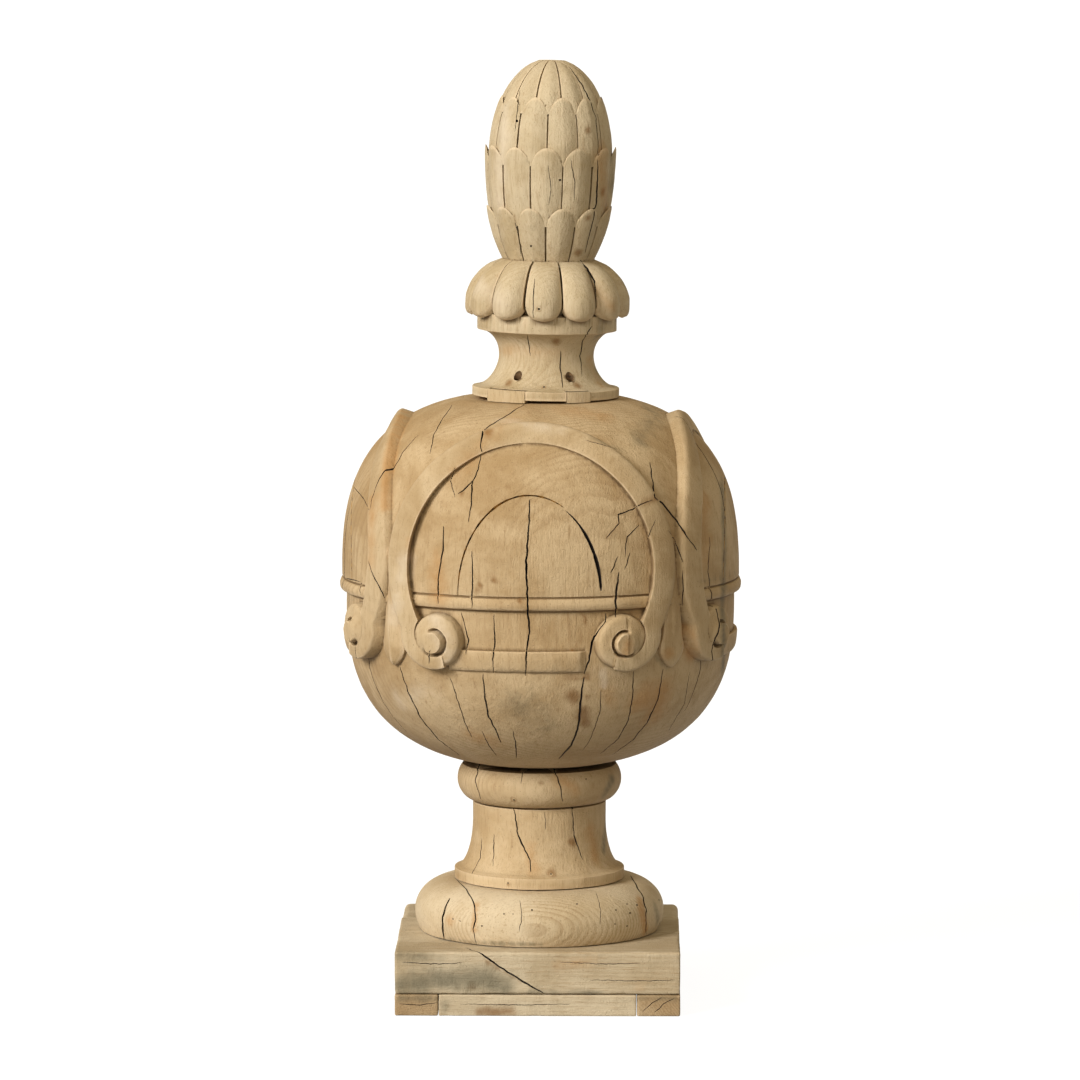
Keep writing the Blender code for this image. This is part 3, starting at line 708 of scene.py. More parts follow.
def voluteHeight(radius, degrees):  # the coil winds from the underside over the top into the eye
    coil = ease(-150, -118, degrees) * ease(118, 88, degrees)
    bend = 0.9 + 0.25 * ease(100, -120, degrees)
    at = radius / bend
    crest = mix(volute["crest"], volute["rim"], ease(14, 28, radius))
    smooth = mix(volute["eye"], volute["rim"], ease(7, 27, radius))
    if at < volute["grooveRadius"]:
        cut = mix(volute["groove"], volute["eye"], ease(volute["grooveRadius"], 12.4, at))
    else:
        cut = mix(volute["groove"], crest, ease(volute["grooveRadius"], 17.2, at))
    height = mix(smooth, cut, coil) - 0.6 * (radius / 30) ** 2
    edge = max(0.0, radius - volute["edge"]) / (strap["voluteRadius"] - volute["edge"])
    return height - volute["edgeDrop"] * (1 - quarter(edge, 2.2))


def voluteRows(turn, side, worn, lost):
    point, out = capPoint(side * strap["voluteOut"], sillTop - strap["voluteDrop"], 0)
    up = (Vector((0, 0, 1)) - out * out.z).normalized()
    across = up.cross(out) * side * -1
    rows = []
    limit = strap["voluteRadius"]
    for radius in (*volute["rings"], limit, limit + 1.5):
        row = []
        for i in range(volute["columns"]):
            degrees = 180 - i * 360 / volute["columns"]
            angle = math.radians(degrees)
            height = voluteHeight(radius, degrees) if radius <= limit else -ball["root"]
            if lost and radius <= limit:
                chip = noise.noise(Vector((radius * 0.12, math.cos(angle) * 2, math.sin(angle) * 2)))
                height = min(height * 0.16, 2.2) + 3 * chip
            elif worn and radius <= limit:  # a sound half, and a half worn a layer lower
                edge = radius * math.cos(angle) + 2 + 0.8 * noise.noise(Vector((radius, 2, degrees * 0.1)))
                height -= 1.6 * ease(-0.6, 0.6, -edge)
            spot = Vector((radius * math.cos(angle), radius * math.sin(angle)))
            row.append(point + across * spot.x + up * spot.y + out * height)
        rows.append(row)
    return turnAbout(rows, turn)


leaf = {
    "width": 38,
    "tip": 90,
    "widest": 66,
    "top": 40,
    "proud": 10,
    "edge": 4.5,
    "sink": 5.5,
    "outline": (
        (0.0, 0.03), (0.08, 0.30), (0.2, 0.56), (0.35, 0.8), (0.5, 0.95), (0.62, 1.0), (0.8, 0.97),
        (1.0, 0.85),
    ),
}


def leafRows(turn, worn):
    tip, top = sillTop - leaf["tip"], sillTop + leaf["top"]
    low = sillTop - leaf["widest"] + 12
    stations = [(mix(tip, low, share), width) for share, width in leaf["outline"]]
    stations += [(mix(low, top, share), mix(0.85, 0.25, share)) for share in shares(22)[1:]]
    rows = []
    for height, width in stations:
        reach = width * leaf["width"] / 2
        edge = leaf["edge"] - domeShare(height) * leaf["sink"]
        ridge = edge + min(1.0, 2 * width) * (leaf["proud"] - edge if not worn else 3.5)
        ridge = min(ridge, edge + 5.5)
        row = [capPoint(-reach, height, -ball["root"])[0]]
        for share in shares(11):
            off = abs(share * 2 - 1)
            proud = mix(ridge, edge, off**0.9 if not worn else off**1.8)
            proud -= 1.2 * max(0.0, off - 0.93) / 0.07
            row.append(capPoint(mix(-reach, reach, share), height, proud)[0])
        row.append(capPoint(reach, height, -ball["root"])[0])
        rows.append(row)
    return turnAbout(rows, turn)


bar = {
    "drop": 63,
    "break": 66,
    "section": (  # from the top edge: rise, and how far it stands out
        ((0, -9), (0, 3.4), (-0.8, 4.4), (-2.5, 5), (-12, 5), (-19, 4.8), (-22.5, 4.2))
        + ((-25, 2.8), (-26, 0.8), (-26, -9))
    ),
}


def barRows(turn, broken):
    top = sillTop - bar["drop"]
    left = -strap["voluteOut"] + 11
    right = bar["break"] if broken else strap["voluteOut"] - 11
    rows = []
    for share in shares(56):
        across = mix(left, right, share)
        fade = 1 - (0.9 * ease(0.955, 1.0, share) if broken else 0)
        row = []
        for rise, proud in bar["section"]:
            if proud >= 0:
                lively = noise.noise(Vector((share * 9, rise * 0.2, turn)))
                proud = proud * fade + 0.35 * lively
            row.append(capPoint(across, top + rise, proud)[0])
        rows.append(row)
    return turnAbout(rows, turn)


def lunettePath(turn, first, last, inset=0.0):  # the half-oval line in a ring, on the ball
    at = ballPlace @ Matrix.Rotation(math.radians(turn), 4, "Z")
    count = 2 + int(abs(last - first) / 2.5)
    path = []
    for share in shares(count):
        angle = math.radians(mix(first, last, share))
        reach = (86 if math.cos(angle) > 0 else 84) - inset
        across = reach * math.cos(angle)
        height = sillTop + 1.5 + (118 - inset) * math.sin(angle)
        point, normal = capPoint(across, height, 0)
        path.append((at @ point, (at.to_3x3() @ normal).normalized()))
    return path


frontCracks = (  # photograph pixels; width and depth in millimetres
    (((530, 499), (529, 522), (527, 554), (526, 563), (528, 611), (529.5, 633), (526, 652), (526, 676)), 2.4, 12),
    (((444, 526), (443, 550), (438, 579), (438, 604)), 1.9, 9),
    (((472, 551), (472.5, 580), (472, 608)), 1.6, 8),
    (((525, 404), (506, 416), (491, 425), (483, 431), (480, 446), (482, 452)), 1.9, 9),
    (((481, 455), (478, 469), (472, 485), (471, 507), (468, 522)), 1.7, 8),
    (((452.5, 405), (441, 421), (434, 435), (430, 454)), 1.4, 7),
    (((455, 466), (451, 481), (455, 497)), 1.0, 5),
    (((458, 494), (466, 488), (474, 480)), 1.6, 7),
    (((650, 462), (652, 478), (654.5, 497), (662, 503), (677, 521), (685, 534), (697, 550)), 2.2, 10),
    (((653, 500), (641, 504), (633, 509), (618, 515), (619, 523), (606, 538)), 1.6, 8),
    (((639, 525), (633, 531), (627, 537), (625, 557)), 1.4, 7),
    (((618, 556), (614, 566), (611, 573)), 1.5, 7),
    (((630, 552), (627, 562), (625, 570)), 1.2, 6),
    (((619, 572), (616, 595), (615.5, 617)), 2.6, 12),
    (((606, 613), (605, 622), (597, 633), (592, 642), (589, 660), (584, 674)), 2.4, 12),
    (((584, 677), (581, 699), (578, 729), (571, 745), (559, 759)), 2.8, 13),
    (((633, 671), (633, 695), (628, 721), (618, 739), (600, 754)), 1.5, 8),
    (((663, 669), (658, 699), (647, 723), (633, 740), (612, 755)), 1.8, 9),
    (((400, 667), (408, 692), (421, 718), (438, 739), (459, 755)), 2.2, 11),
    (((450, 677), (458, 701), (465, 723), (472, 737)), 1.3, 7),
    (((483, 674), (485, 699), (489, 717), (496, 730), (501, 743)), 1.9, 9),
    (((482, 731), (489, 746), (496, 755)), 1.2, 6),
    (((513, 731), (516, 745), (516, 758)), 1.3, 6),
    (((494, 614), (495, 642), (493, 660), (493, 673)), 1.5, 8),
    (((461, 612), (465, 626), (468.5, 640), (466, 655)), 1.4, 7),
    (((368, 561), (375, 579), (385, 598)), 1.5, 8),
    (((601, 690), (600, 712), (591, 738), (583, 750)), 1.0, 5),
    (((690, 672), (684, 705), (668, 731)), 1.0, 5),
    (((430, 650), (429, 658), (429, 664)), 1.3, 5),
    (((668, 530), (675, 541), (683, 562)), 1.2, 6),
    (((682.5, 570), (683, 590), (682, 606)), 1.3, 6),
    (((346.5, 578), (361, 582)), 1.2, 3),
    (((361.5, 583), (359.5, 590), (361, 595)), 1.2, 3),
    (((354, 487), (363, 498), (369, 510)), 1.0, 5),
    (((656, 520), (650, 532), (647, 540)), 1.0, 5),
    (((586, 440), (600, 444), (616, 449)), 0.8, 3),
)


def sideCracks():  # checks on the sides and the back, in keeping with the front
    found = []
    for degrees, start, end, width in (
        (58, 60, -150, 1.8), (74, 190, 70, 2.2), (97, -70, -190, 1.6), (112, 150, -60, 2.4),
        (131, -60, -185, 2.0),
        (149, 200, 60, 1.6), (168, 120, -120, 2.6), (186, -70, -190, 1.7), (203, 190, 50, 2.2),
        (221, 40, -175, 1.8),
        (246, -80, -190, 2.2), (262, 195, 40, 1.8), (281, 100, -70, 2.4), (297, -60, -180, 1.5),
        (307, 180, 90, 1.4),
    ):
        path = []
        lean = chance.uniform(-4, 4)
        for share in shares(42):
            height = sillTop + mix(start, end, share)
            wander = lean * share + 2.2 * noise.noise(Vector((degrees, height * 0.022, 1)))
            wander += 0.5 * noise.noise(Vector((degrees, height * 0.12, 4)))
            place = ballPlace @ Matrix.Rotation(math.radians(degrees + wander), 4, "Z")
            point, normal = capPoint(0, height, 0)
            path.append((place @ point, (place.to_3x3() @ normal).normalized()))
        found.append((path, width))
    return found


def ontoSurface(tree, path):  # points of the plain ball, moved out or in to the carved surface
    moved = []
    for point, normal in path:
        hit, _, _, _ = tree.ray_cast(point + normal * 30 * mm, -normal, 60 * mm)
        if hit is not None:
            moved.append((hit, normal))
    return moved


def makeBall():
    angles = columnAngles(1.25, 2.1)
    profile = ballProfile()
    rows = turnedRows(profile, angles)
    obj = poled("ball", rows, Vector((0, 0, seatHeight)), Vector(), ballPlace)
    obj.data.materials.append(ballOak)
    turns = ball["turns"]
    straps = skin("straps", [strapRows(t) for t in turns], ballPlace)
    between = [(a + b) / 2 for a, b in zip(turns, (*turns[1:], turns[0] + 360))]
    leaves = skin("leaves", [leafRows(t, i == 0) for i, t in enumerate(between)], ballPlace)
    bars = skin("bars", [barRows(t, i == 0) for i, t in enumerate(turns)], ballPlace)
    coils = []
    for i, turn in enumerate(turns):
        for side in (-1, 1):
            lost = (i, side) == (1, 1)
            coils.append(voluteRows(turn, side, (i, side) == (0, 1), lost))
    volutes = skin("volutes", coils, ballPlace)
    for tool in (leaves, straps, bars, volutes):
        tool.data.materials.append(strapOak if tool in (straps, volutes) else ballOak)
        carve(obj, tool, "UNION")
    roughen(obj, ((70 * mm, 0.7 * mm), (16 * mm, 0.35 * mm), (5 * mm, 0.15 * mm)), 2)
    markWearAndHollowShade(obj)
    glued = []
    for i, turn in enumerate(turns):
        glued.append((lunettePath(turn, 180, 62 if i == 0 else 0), 2.4, 3.2))
    tree = treeOf(obj)
    glued = [(ontoSurface(tree, path), w, d) for path, w, d in glued]
    rows = blade(ontoSurface(tree, lunettePath(turns[0], 60, 3, 1.5)), 6.5 * mm, 14 * mm, 0.2)
    for i, row in enumerate(rows):  # the gap widens towards the sill
        middle, share = (row[0] + row[1]) / 2, 0.25 + 0.75 * i / len(rows)
        row[0], row[1] = mix(middle, row[0], share), mix(middle, row[1], share)
    # the gap's walls take the near-black crack colour: painted shade in the gap
    gap = skin("gap", [rows])
    gap.data.materials.append(crackDirtAndShade)
    side = [(ontoSurface(tree, path), width, 10) for path, width in sideCracks()]
    cutCracks(obj, tree, glued, oldGlue, "glueLine")
    cutCracks(obj, tree, list(frontCracks) + side, crackDirtAndShade)
    carve(obj, gap, "DIFFERENCE")
    return obj


ballMarks = {
    "stain": (
        (((573, 697),), 16, 1.0), (((583, 712), (585, 722)), 13, 1.0),
        (((566, 677), (588, 677)), 7, 1.0),
        (((480, 585), (477, 592)), 6, 0.8), (((494, 579),), 7, 0.9), (((520, 601),), 7, 0.9),
        (((488, 432),), 11, 0.9), (((588, 697),), 7, 0.8), (((461, 494),), 7, 0.7),
        (((583, 613), (587, 625), (580, 639), (572, 651)), 4, 0.9),
        (((655, 499), (640, 505)), 8, 0.7),
        (((624, 520), (606, 537)), 7, 0.5), (((683, 532),), 8, 0.6),
    ),
    "orange": (
        (((405, 412), (392, 445), (386, 480), (385, 505)), 12, 1.1),
        (((372, 500), (371, 560)), 18, 0.6),
        (((640, 700), (660, 690), (655, 715)), 30, 0.8), (((691, 655), (688, 630)), 17, 0.9),
        (((437, 560), (440, 600)), 22, 0.55), (((605, 690), (612, 700)), 18, 0.5),
        (((704, 500), (705, 560)), 24, 0.6),
        (((628, 645), (626, 655)), 14, 0.8), (((410, 540), (409, 560)), 8, 0.6),
        (((668, 655),), 14, 0.7),
        (((560, 410), (600, 415)), 30, 0.5), (((455, 470), (520, 410)), 26, 0.35),
        (((500, 745), (470, 735)), 26, 0.4),
    ),
    # grime on the ball: painted shade along its right side, away from the key light, and low on the bowl, with some
    # grime
    "grimeAndShade": (
        (((722, 480), (724, 540), (723, 600)), 13, 0.75),
        (((722, 600), (724, 640), (722, 700)), 12, 0.8),
        (((700, 582), (735, 572)), 6, 0.7), (((520, 705), (540, 720)), 40, 0.42),
        (((590, 437), (620, 450)), 10, 0.35),
        (((660, 410), (640, 440)), 24, 0.45), (((640, 400), (655, 415)), 18, 0.5),
        (((668, 668), (655, 655)), 8, 0.4),
    ),
    # bleach on the ball's left and upper sides, towards the key light, is painted light; the small spot on the right
    # is a pale chip
    "bleachAndLight": (
        (((603, 672), (604, 685)), 8, 0.9), (((405, 560), (392, 620)), 20, 0.5),
        (((435, 620), (450, 660)), 26, 0.5),
        (((500, 420), (560, 430)), 16, 0.4), (((400, 700), (430, 690)), 30, 0.4),
    ),
}

print("ball", flush=True)
ballPiece = makeBall()
for kind, marks in ballMarks.items():
    paint(ballPiece, kind, marks)
finishPiece(ballPiece, "body")

# What repeats: copies round the axis, and drilled worm holes


def addTree(name, sockets):
    tree = bpy.data.node_groups.new(name, "GeometryNodeTree")
    tree.interface.new_socket("Geometry", in_out="INPUT", socket_type="NodeSocketGeometry")
    for label, kind in sockets:
        tree.interface.new_socket(label, in_out="INPUT", socket_type="NodeSocket" + kind)
    tree.interface.new_socket("Geometry", in_out="OUTPUT", socket_type="NodeSocketGeometry")
    return tree, tree.nodes.new("NodeGroupInput"), tree.nodes.new("NodeGroupOutput")


def runTree(obj, tree, values):
    step = obj.modifiers.new("nodes", "NODES")
    step.node_group = tree
    for item in tree.interface.items_tree:
        if item.in_out == "INPUT" and item.name in values:
            step[item.identifier] = values[item.name]
    return settle(obj)


def endTree(tree, given, out, instances):
    real = addNode(tree, "GeometryNodeRealizeInstances", {"Geometry": instances.outputs["Instances"]})
    done = addNode(
        tree,
        "GeometryNodeSetMaterial",
        {"Geometry": real.outputs["Geometry"], "Material": given.outputs["Material"]},
    )
    tree.links.new(done.outputs["Geometry"], out.inputs["Geometry"])
    return tree


def anySize(tree, given):
    seed = {"Seed": given.outputs["Seed"]}
    return addNode(tree, "FunctionNodeRandomValue", seed, data_type="FLOAT_VECTOR")


def ringTree():
    names = [("Count", "Int"), ("Offset", "Float"), ("Loose", "Float")]
    names += [("Seed", "Int"), ("Material", "Material")]
    tree, given, out = addTree("copiesInARing", names)
    spots = addNode(tree, "GeometryNodeMeshLine", {"Count": given.outputs["Count"]}, mode="OFFSET")
    spots.inputs["Offset"].default_value = (0, 0, 0)
    index = addNode(tree, "GeometryNodeInputIndex").outputs["Index"]
    step = maths(tree, "DIVIDE", 2 * math.pi, given.outputs["Count"])
    shake = addNode(tree, "FunctionNodeRandomValue", {"Seed": given.outputs["Seed"]}, data_type="FLOAT")
    shake.inputs[2].default_value = -0.006
    shake.inputs[3].default_value = 0.006
    turn = maths(tree, "MULTIPLY_ADD", index, step, given.outputs["Offset"])
    turn = maths(tree, "ADD", turn, shake.outputs[1])
    euler = addNode(tree, "ShaderNodeCombineXYZ", {"Z": turn})
    rotation = addNode(tree, "FunctionNodeEulerToRotation", {"Euler": euler.outputs[0]})
    loose = given.outputs["Loose"]
    least = addNode(tree, "ShaderNodeCombineXYZ", {"Z": 1.0})
    most = addNode(tree, "ShaderNodeCombineXYZ", {"Z": 1.0})
    for axis in ("X", "Y"):
        tree.links.new(maths(tree, "SUBTRACT", 1.0, loose), least.inputs[axis])
        tree.links.new(maths(tree, "ADD", 1.0, loose), most.inputs[axis])
    size = anySize(tree, given)
    tree.links.new(least.outputs[0], size.inputs["Min"])
    tree.links.new(most.outputs[0], size.inputs["Max"])
    copies = addNode(
        tree,
        "GeometryNodeInstanceOnPoints",
        {
            "Points": spots.outputs["Mesh"],
            "Instance": given.outputs["Geometry"],
            "Rotation": rotation.outputs[0],
            "Scale": size.outputs["Value"],
        },
    )
    return endTree(tree, given, out, copies)


def drillTree():
    names = (("Radius", "Float"), ("Seed", "Int"), ("Material", "Material"))
    tree, given, out = addTree("wormHoles", names)
    sockets = {"Radius": given.outputs["Radius"], "Subdivisions": 2}
    pit = addNode(tree, "GeometryNodeMeshIcoSphere", sockets)
    size = anySize(tree, given)
    size.inputs["Min"].default_value = (0.7, 1.2, 0.7)
    size.inputs["Max"].default_value = (1.25, 2.4, 1.25)
    copies = addNode(
        tree,
        "GeometryNodeInstanceOnPoints",
        {
            "Points": given.outputs["Geometry"],
            "Instance": pit.outputs["Mesh"],
            "Scale": size.outputs["Value"],
        },
    )
    return endTree(tree, given, out, copies)


copiesInARing = ringTree()
wormHoles = drillTree()


def copyRound(template, count, offset, material, seed, loose=0.006):
    values = {"Count": count, "Offset": math.radians(offset), "Loose": loose}
    return runTree(template, copiesInARing, {**values, "Seed": seed, "Material": material})


def drillHoles(obj, spots, radius, seed):
    tree = treeOf(obj)
    hits = []
    for spot in spots:
        found = sightPoints(tree, (spot, spot), 5, 0)
        hits += [found[0][0]] if found else []
    mesh = bpy.data.meshes.new("holes")
    mesh.from_pydata(hits, [], [])
    tool = bpy.data.objects.new("holes", mesh)
    bpy.context.scene.collection.objects.link(tool)
    # the holes' walls take the near-black crack colour: painted shade in the holes
    runTree(tool, wormHoles, {"Radius": radius * mm, "Seed": seed, "Material": crackDirtAndShade})
    carve(obj, tool, "DIFFERENCE")


def finishTurned(obj, grades, seed, cracks, marks):
    roughen(obj, grades, seed)
    markWearAndHollowShade(obj)
    cutCracks(obj, treeOf(obj), cracks, crackDirtAndShade)
    for kind, spots in marks.items():
        paint(obj, kind, spots)


# The top carving: rim, neck, fillet, petals, scales and tip

top = {
    "shift": 7.4,
    "lean": 1.15,
    "turn": -2.8,
    "rim": 89,
    "rimHeight": 12,
    "neck": 57.5,
    "lower": 37.5,
    "upper": 30,
    "fillet": 84.3,
    "filletHeight": 15,
    "petal": 99.5,
    "petalHeight": 69,
    "straight": 20,
    "petalNotch": 12,
    "coneBase": 56,
    "cone": 80.5,
    "swell": 118,
    "height": 240,  # of the cone, its tip cut off
    "outlineHeight": 242,
    "notch": 20,
    "tiers": (  # top, step to the next tier, and whether it is half a scale round
        (66, 3.6, True),
        (138, 4.2, False),
        (197, 4.6, True),
    ),
    "patches": ((-50.8, -15.7), (17.6, 37.4)),
    "pockets": (-31, 27),
}
topPlace = Matrix.Translation((top["shift"] * mm, 0, 725.96 * mm))
topPlace = topPlace @ Matrix.Rotation(math.radians(top["lean"]), 4, "Y") @ Matrix.Scale(mm, 4)
waist = top["rimHeight"] + top["lower"]
filletTop = waist + top["upper"] + top["filletHeight"]
coneBottom = filletTop + top["petalHeight"]


def neckProfile():
    rim, neck, fillet = top["rim"], top["neck"], top["fillet"]
    points = [(30, 0), (rim - 1, 0), (rim, 0.8), (rim, 5), (rim, 10.2)]
    points += [(rim - 0.4, 11.3), (rim - 1.4, 11.9)]
    for share in shares(18):
        radius = neck + (rim - 3 - neck) * (1 - quarter(1 - share, 1.8))
        points.append((radius, top["rimHeight"] + share * top["lower"]))
    for share in shares(16)[1:]:
        radius = neck + (fillet - 0.5 - neck) * (1 - quarter(share))
        points.append((radius, waist + share * top["upper"]))
    low = waist + top["upper"]
    points += [(fillet, low + 0.8), (fillet, low + 8), (fillet - 0.3, filletTop + 6)]
    points += [(70, filletTop + 8), (52, filletTop + 40), (48, coneBottom - 4), (48, coneBottom)]
    for share in shares(30)[1:]:
        rise = share * (top["height"] - 3)
        points.append((max(6.0, coneOutline(rise) - 9), coneBottom + rise))
    return points


def coneOutline(rise):
    if rise < top["swell"]:
        below = 1 - max(0.0, rise) / top["swell"]
        return top["cone"] - (top["cone"] - top["coneBase"]) * below**2.7
    return top["cone"] * quarter((rise - top["swell"]) / (top["outlineHeight"] - top["swell"]))


def petalOutline(height):
    shoulder = filletTop + top["straight"]
    share = max(0.0, height - shoulder) / (coneBottom - shoulder)
    return top["coneBase"] + (top["petal"] - top["coneBase"]) * quarter(share, 1.7)


def lobe(name, surface, depth, rows=26, columns=17, width=14.6):  # a closed petal or scale
    stack = []
    for up in shares(rows):
        row = []
        for share in shares(columns):
            side = share * 2 - 1
            radius, height = surface(up, abs(side), side)
            row.append(around(radius, side * width, height))
        for side in (1, -1):
            radius, height = surface(up, 1.0, side)
            row.append(around(max(2.0, radius - depth), side * width * 0.8, height))
        stack.append(row)
    return skin(name, [stack])


def petalSurface(up, off, side):
    low = filletTop + 0.3 + top["petalNotch"] * (1 - quarter(off, 1.8))
    height = mix(low, coneBottom + 1.5, up)
    radius = petalOutline(height) - 12 * off**2.2 * (1 - up**4) + 0.6
    nose = 1 - quarter(1 - min(1.0, up / 0.17), 2.2)
    return min(radius, top["petal"]) - 9 * nose, height


def scaleSurface(number):
    tierTop = top["tiers"][number][0]
    start = -6 if number == 0 else top["tiers"][number - 1][0] - top["notch"] - 3
    recess = 0 if number == 0 else top["tiers"][number - 1][1] + 0.6

    def surface(up, off, side):
        end = tierTop - top["notch"] * (0.65 * off**1.9 + 0.35 * (1 - quarter(off, 2.4)))
        rise = mix(start, end, up)
        facets = 4.6 * off**0.8 - 1.0 * math.sin(math.pi * off)
        radius = coneOutline(rise) - recess * (1 - up) ** 0.8 - facets * (0.55 + 0.45 * up)
        radius -= 2.2 * max(0.0, up - 0.965) / 0.035 * 0.5
        return max(5.0, radius), coneBottom + rise

    return surface


def tipSurface(up, off, side):
    rise = mix(top["tiers"][2][0] - 20, top["height"] - 0.5, up)
    ragged = 1.5 * noise.noise(Vector((side * 2, up * 9, 3))) * up
    flute = 3.6 * off**1.2 * (1 - 0.5 * up)
    radius = coneOutline(rise) - top["tiers"][2][1] * (1 - up) - flute - ragged
    return max(3.0, radius), coneBottom + rise + ragged * 0.6


def patchCutter(first, last):
    inner = top["rim"] - 14.3
    rows = []
    for share in shares(7):
        degrees = mix(first - 0.2, last + 0.2, share)
        section = ((inner, 12.4), (110, 12.4), (110, -12), (inner, -12))
        rows.append([around(radius, degrees, height) for radius, height in section])
    return rows


def pocketCutter(degrees):
    turn = Matrix.Rotation(math.radians(degrees), 4, "Z")
    slope = Matrix.Rotation(math.radians(20), 4, "X")
    at = Matrix.Translation(around(top["neck"] + 9, degrees, 34)) @ turn @ slope
    circle = [(5 * math.cos(k * math.pi / 12), 5 * math.sin(k * math.pi / 12)) for k in range(24)]
    return [[at @ Vector((x, y, z)) for x, y in circle] for z in (-18, 0, 18)]


def makeTop():
    angles = [i * 2.25 for i in range(160)]
    profile = neckProfile()
    rows = turnedRows(profile, angles)
    obj = poled("topCarving", rows, Vector((0, 0, 0)), Vector((0, 0, coneBottom + top["height"] - 4)))
    obj.data.materials.append(paleOak)
    tool = skin("rimCuts", [patchCutter(*angles) for angles in top["patches"]])
    tool.data.materials.append(paleOak)
    carve(obj, tool, "DIFFERENCE")
    tool = skin("pockets", [pocketCutter(d) for d in top["pockets"]])
    # the pockets' walls are dark brown: painted shade inside the pockets
    tool.data.materials.append(plainWood("pocketShade", (0.20, 0.115, 0.05, 1), 0.9))
    carve(obj, tool, "DIFFERENCE")
    lobes = [(lobe("petal", petalSurface, 16), 0.0, 3)]
    for number, (_, _, shifted) in enumerate(top["tiers"]):
        lobes.append((lobe("scale", scaleSurface(number), 12), 15.0 if shifted else 0.0, 11 + number))
    lobes.append((lobe("tipFlute", tipSurface, 12, 16, 9), 0.0, 5))
    for template, offset, seed in lobes:
        carve(obj, copyRound(template, 12, offset + top["turn"], paleOak, seed), "UNION")
    obj.data.transform(topPlace)
    roughen(obj, ((30 * mm, 0.7 * mm), (9 * mm, 0.45 * mm), (3 * mm, 0.12 * mm)), 5)
    return obj


topCracks = (
    (((569, 67), (582, 85), (590, 100), (596, 119), (598, 138), (598, 156)), 1.8, 8),
    (((598, 160), (597, 194), (596, 206), (591, 229), (585, 253)), 2.2, 9),
    (((580, 260), (587, 268), (594, 281), (596, 296), (595, 308)), 2.0, 8),
    (((592, 326), (583, 340), (580, 356), (582, 376)), 1.7, 7),
    (((561, 351), (560, 366), (563, 388)), 1.5, 6),
    (((527, 335), (529, 345), (530, 356)), 1.2, 5),
    (((535, 278), (533, 300), (533, 318)), 1.3, 5),
    (((520, 90), (517, 112), (515, 132)), 0.8, 3),
    (((548, 165), (551, 190), (549, 206)), 0.8, 3),
    (((515, 222), (519, 238), (521, 256)), 0.9, 3),
    (((571, 160), (575, 182), (574, 200)), 0.9, 3),
)
topMarks = {
    "stain": (
        (((588, 130),), 8, 0.9), (((603, 192),), 9, 1.0), (((588, 218),), 7, 0.9),
        (((578, 253),), 9, 0.9),
        (((556, 341),), 10, 0.9), (((509, 383),), 9, 0.8), (((578, 386),), 9, 0.8),
        (((539, 309),), 5, 1.2),
        (((544, 387),), 4, 1.2),
    ),
    "orange": (
        (((600, 150), (606, 210)), 20, 0.6), (((596, 290), (610, 305)), 20, 0.5),
        (((500, 350), (560, 352)), 16, 0.4),
        (((590, 360), (600, 384)), 16, 0.5),
    ),
    # grime on the top carving's right side is painted shade
    "grimeAndShade": ((((612, 130), (613, 220)), 14, 0.6), (((600, 330), (596, 370)), 14, 0.6), (((625, 285),), 16, 0.5)),
    # bleach on the top carving's left side is painted light
    "bleachAndLight": ((((505, 110), (500, 200)), 20, 0.6), (((480, 285), (500, 300)), 24, 0.6)),
}

topPiece = makeTop()
finishTurned(topPiece, (), 5, topCracks, topMarks)
drillHoles(topPiece, ((539, 309), (544, 387), (517, 121), (560, 180), (531, 246)), 1.5, 4)
finishPiece(topPiece, "top_carving", 38)

# The turned pieces under the ball


def halfRound(widest, roundIn, centre, above, below, upperRise, lowerDrop, count):
    points = []
    for share in shares(count):
        rise = above * math.cos(share * math.pi / 2)
        points.append((widest - roundIn * (1 - quarter(rise / upperRise)), centre + rise))
    for share in shares(count)[1:]:
        drop = below * math.sin(share * math.pi / 2)
        points.append((widest - roundIn * (1 - quarter(drop / lowerDrop)), centre - drop))
    return points


def makeTurned(name, profile, material):
    angles = columnAngles(1.6, 2.6)
    low, high = profile[-1][1], profile[0][1]
    rows = turnedRows([(20, high), (50, high), *profile, (50, low), (20, low)], angles)
    obj = poled(name, rows, Vector((0, 0, high)), Vector((0, 0, low)), Matrix.Scale(mm, 4))
    obj.data.materials.append(material)
    return obj


footProfile = halfRound(151.5, 43.5, 102.1, 38, 24, 38, 46, 22)
collarProfile = halfRound(100, 24, 262, 18.7, 27, 27, 27, 16)
stemProfile = [(80.3, 234.7), (81.1, 234.3), (81.3, 233)]
stemProfile += [(81.3 + 20.5 * (1 - quarter(s)), 213.4 - s * 59) for s in shares(30)]
stemProfile += [(102.2, 154.2), (103.1, 153.8), (103.5, 152.8), (103.5, 147)]
stemProfile += [(103.5, 141.5), (103.1, 140.6), (102, 140.4)]

turnedPieces = (
    ("foot", "foot_ring", footProfile, footOak),
    ("stemTurning", "stem", stemProfile, turnedOak),
    ("collar", "collar_ring", collarProfile, turnedOak),
)
turnedCracks = {
    "foot": (
        (((450, 898), (445, 909), (442, 921), (444, 939)), 3.0, 12),
        (((455, 878), (466, 889), (474, 903), (476, 919), (473, 929), (476, 944)), 1.7, 9),
        (((631, 876), (643, 897), (646, 911), (646, 934)), 2.2, 10),
        (((520, 900), (522, 915), (519, 932)), 0.8, 3),
        (((596, 893), (601, 910), (600, 925)), 0.8, 3),
    ),
    "stemTurning": (
        (((514, 808), (516, 822), (518, 836), (530, 860), (531, 872)), 1.8, 8),
        (((482, 838), (480, 858), (472, 874)), 1.4, 7),
        (((494, 834), (494, 850), (493, 866)), 1.2, 6),
        (((572, 807), (574, 836), (583, 860)), 1.5, 7),
        (((545, 812), (546, 830)), 0.8, 3),
    ),
    "collar": (
        (((480, 762), (475, 781), (481, 799)), 1.8, 8),
        (((553, 766), (560, 785), (563, 801)), 1.6, 7),
        (((523, 768), (521, 784)), 0.8, 3),
    ),
}
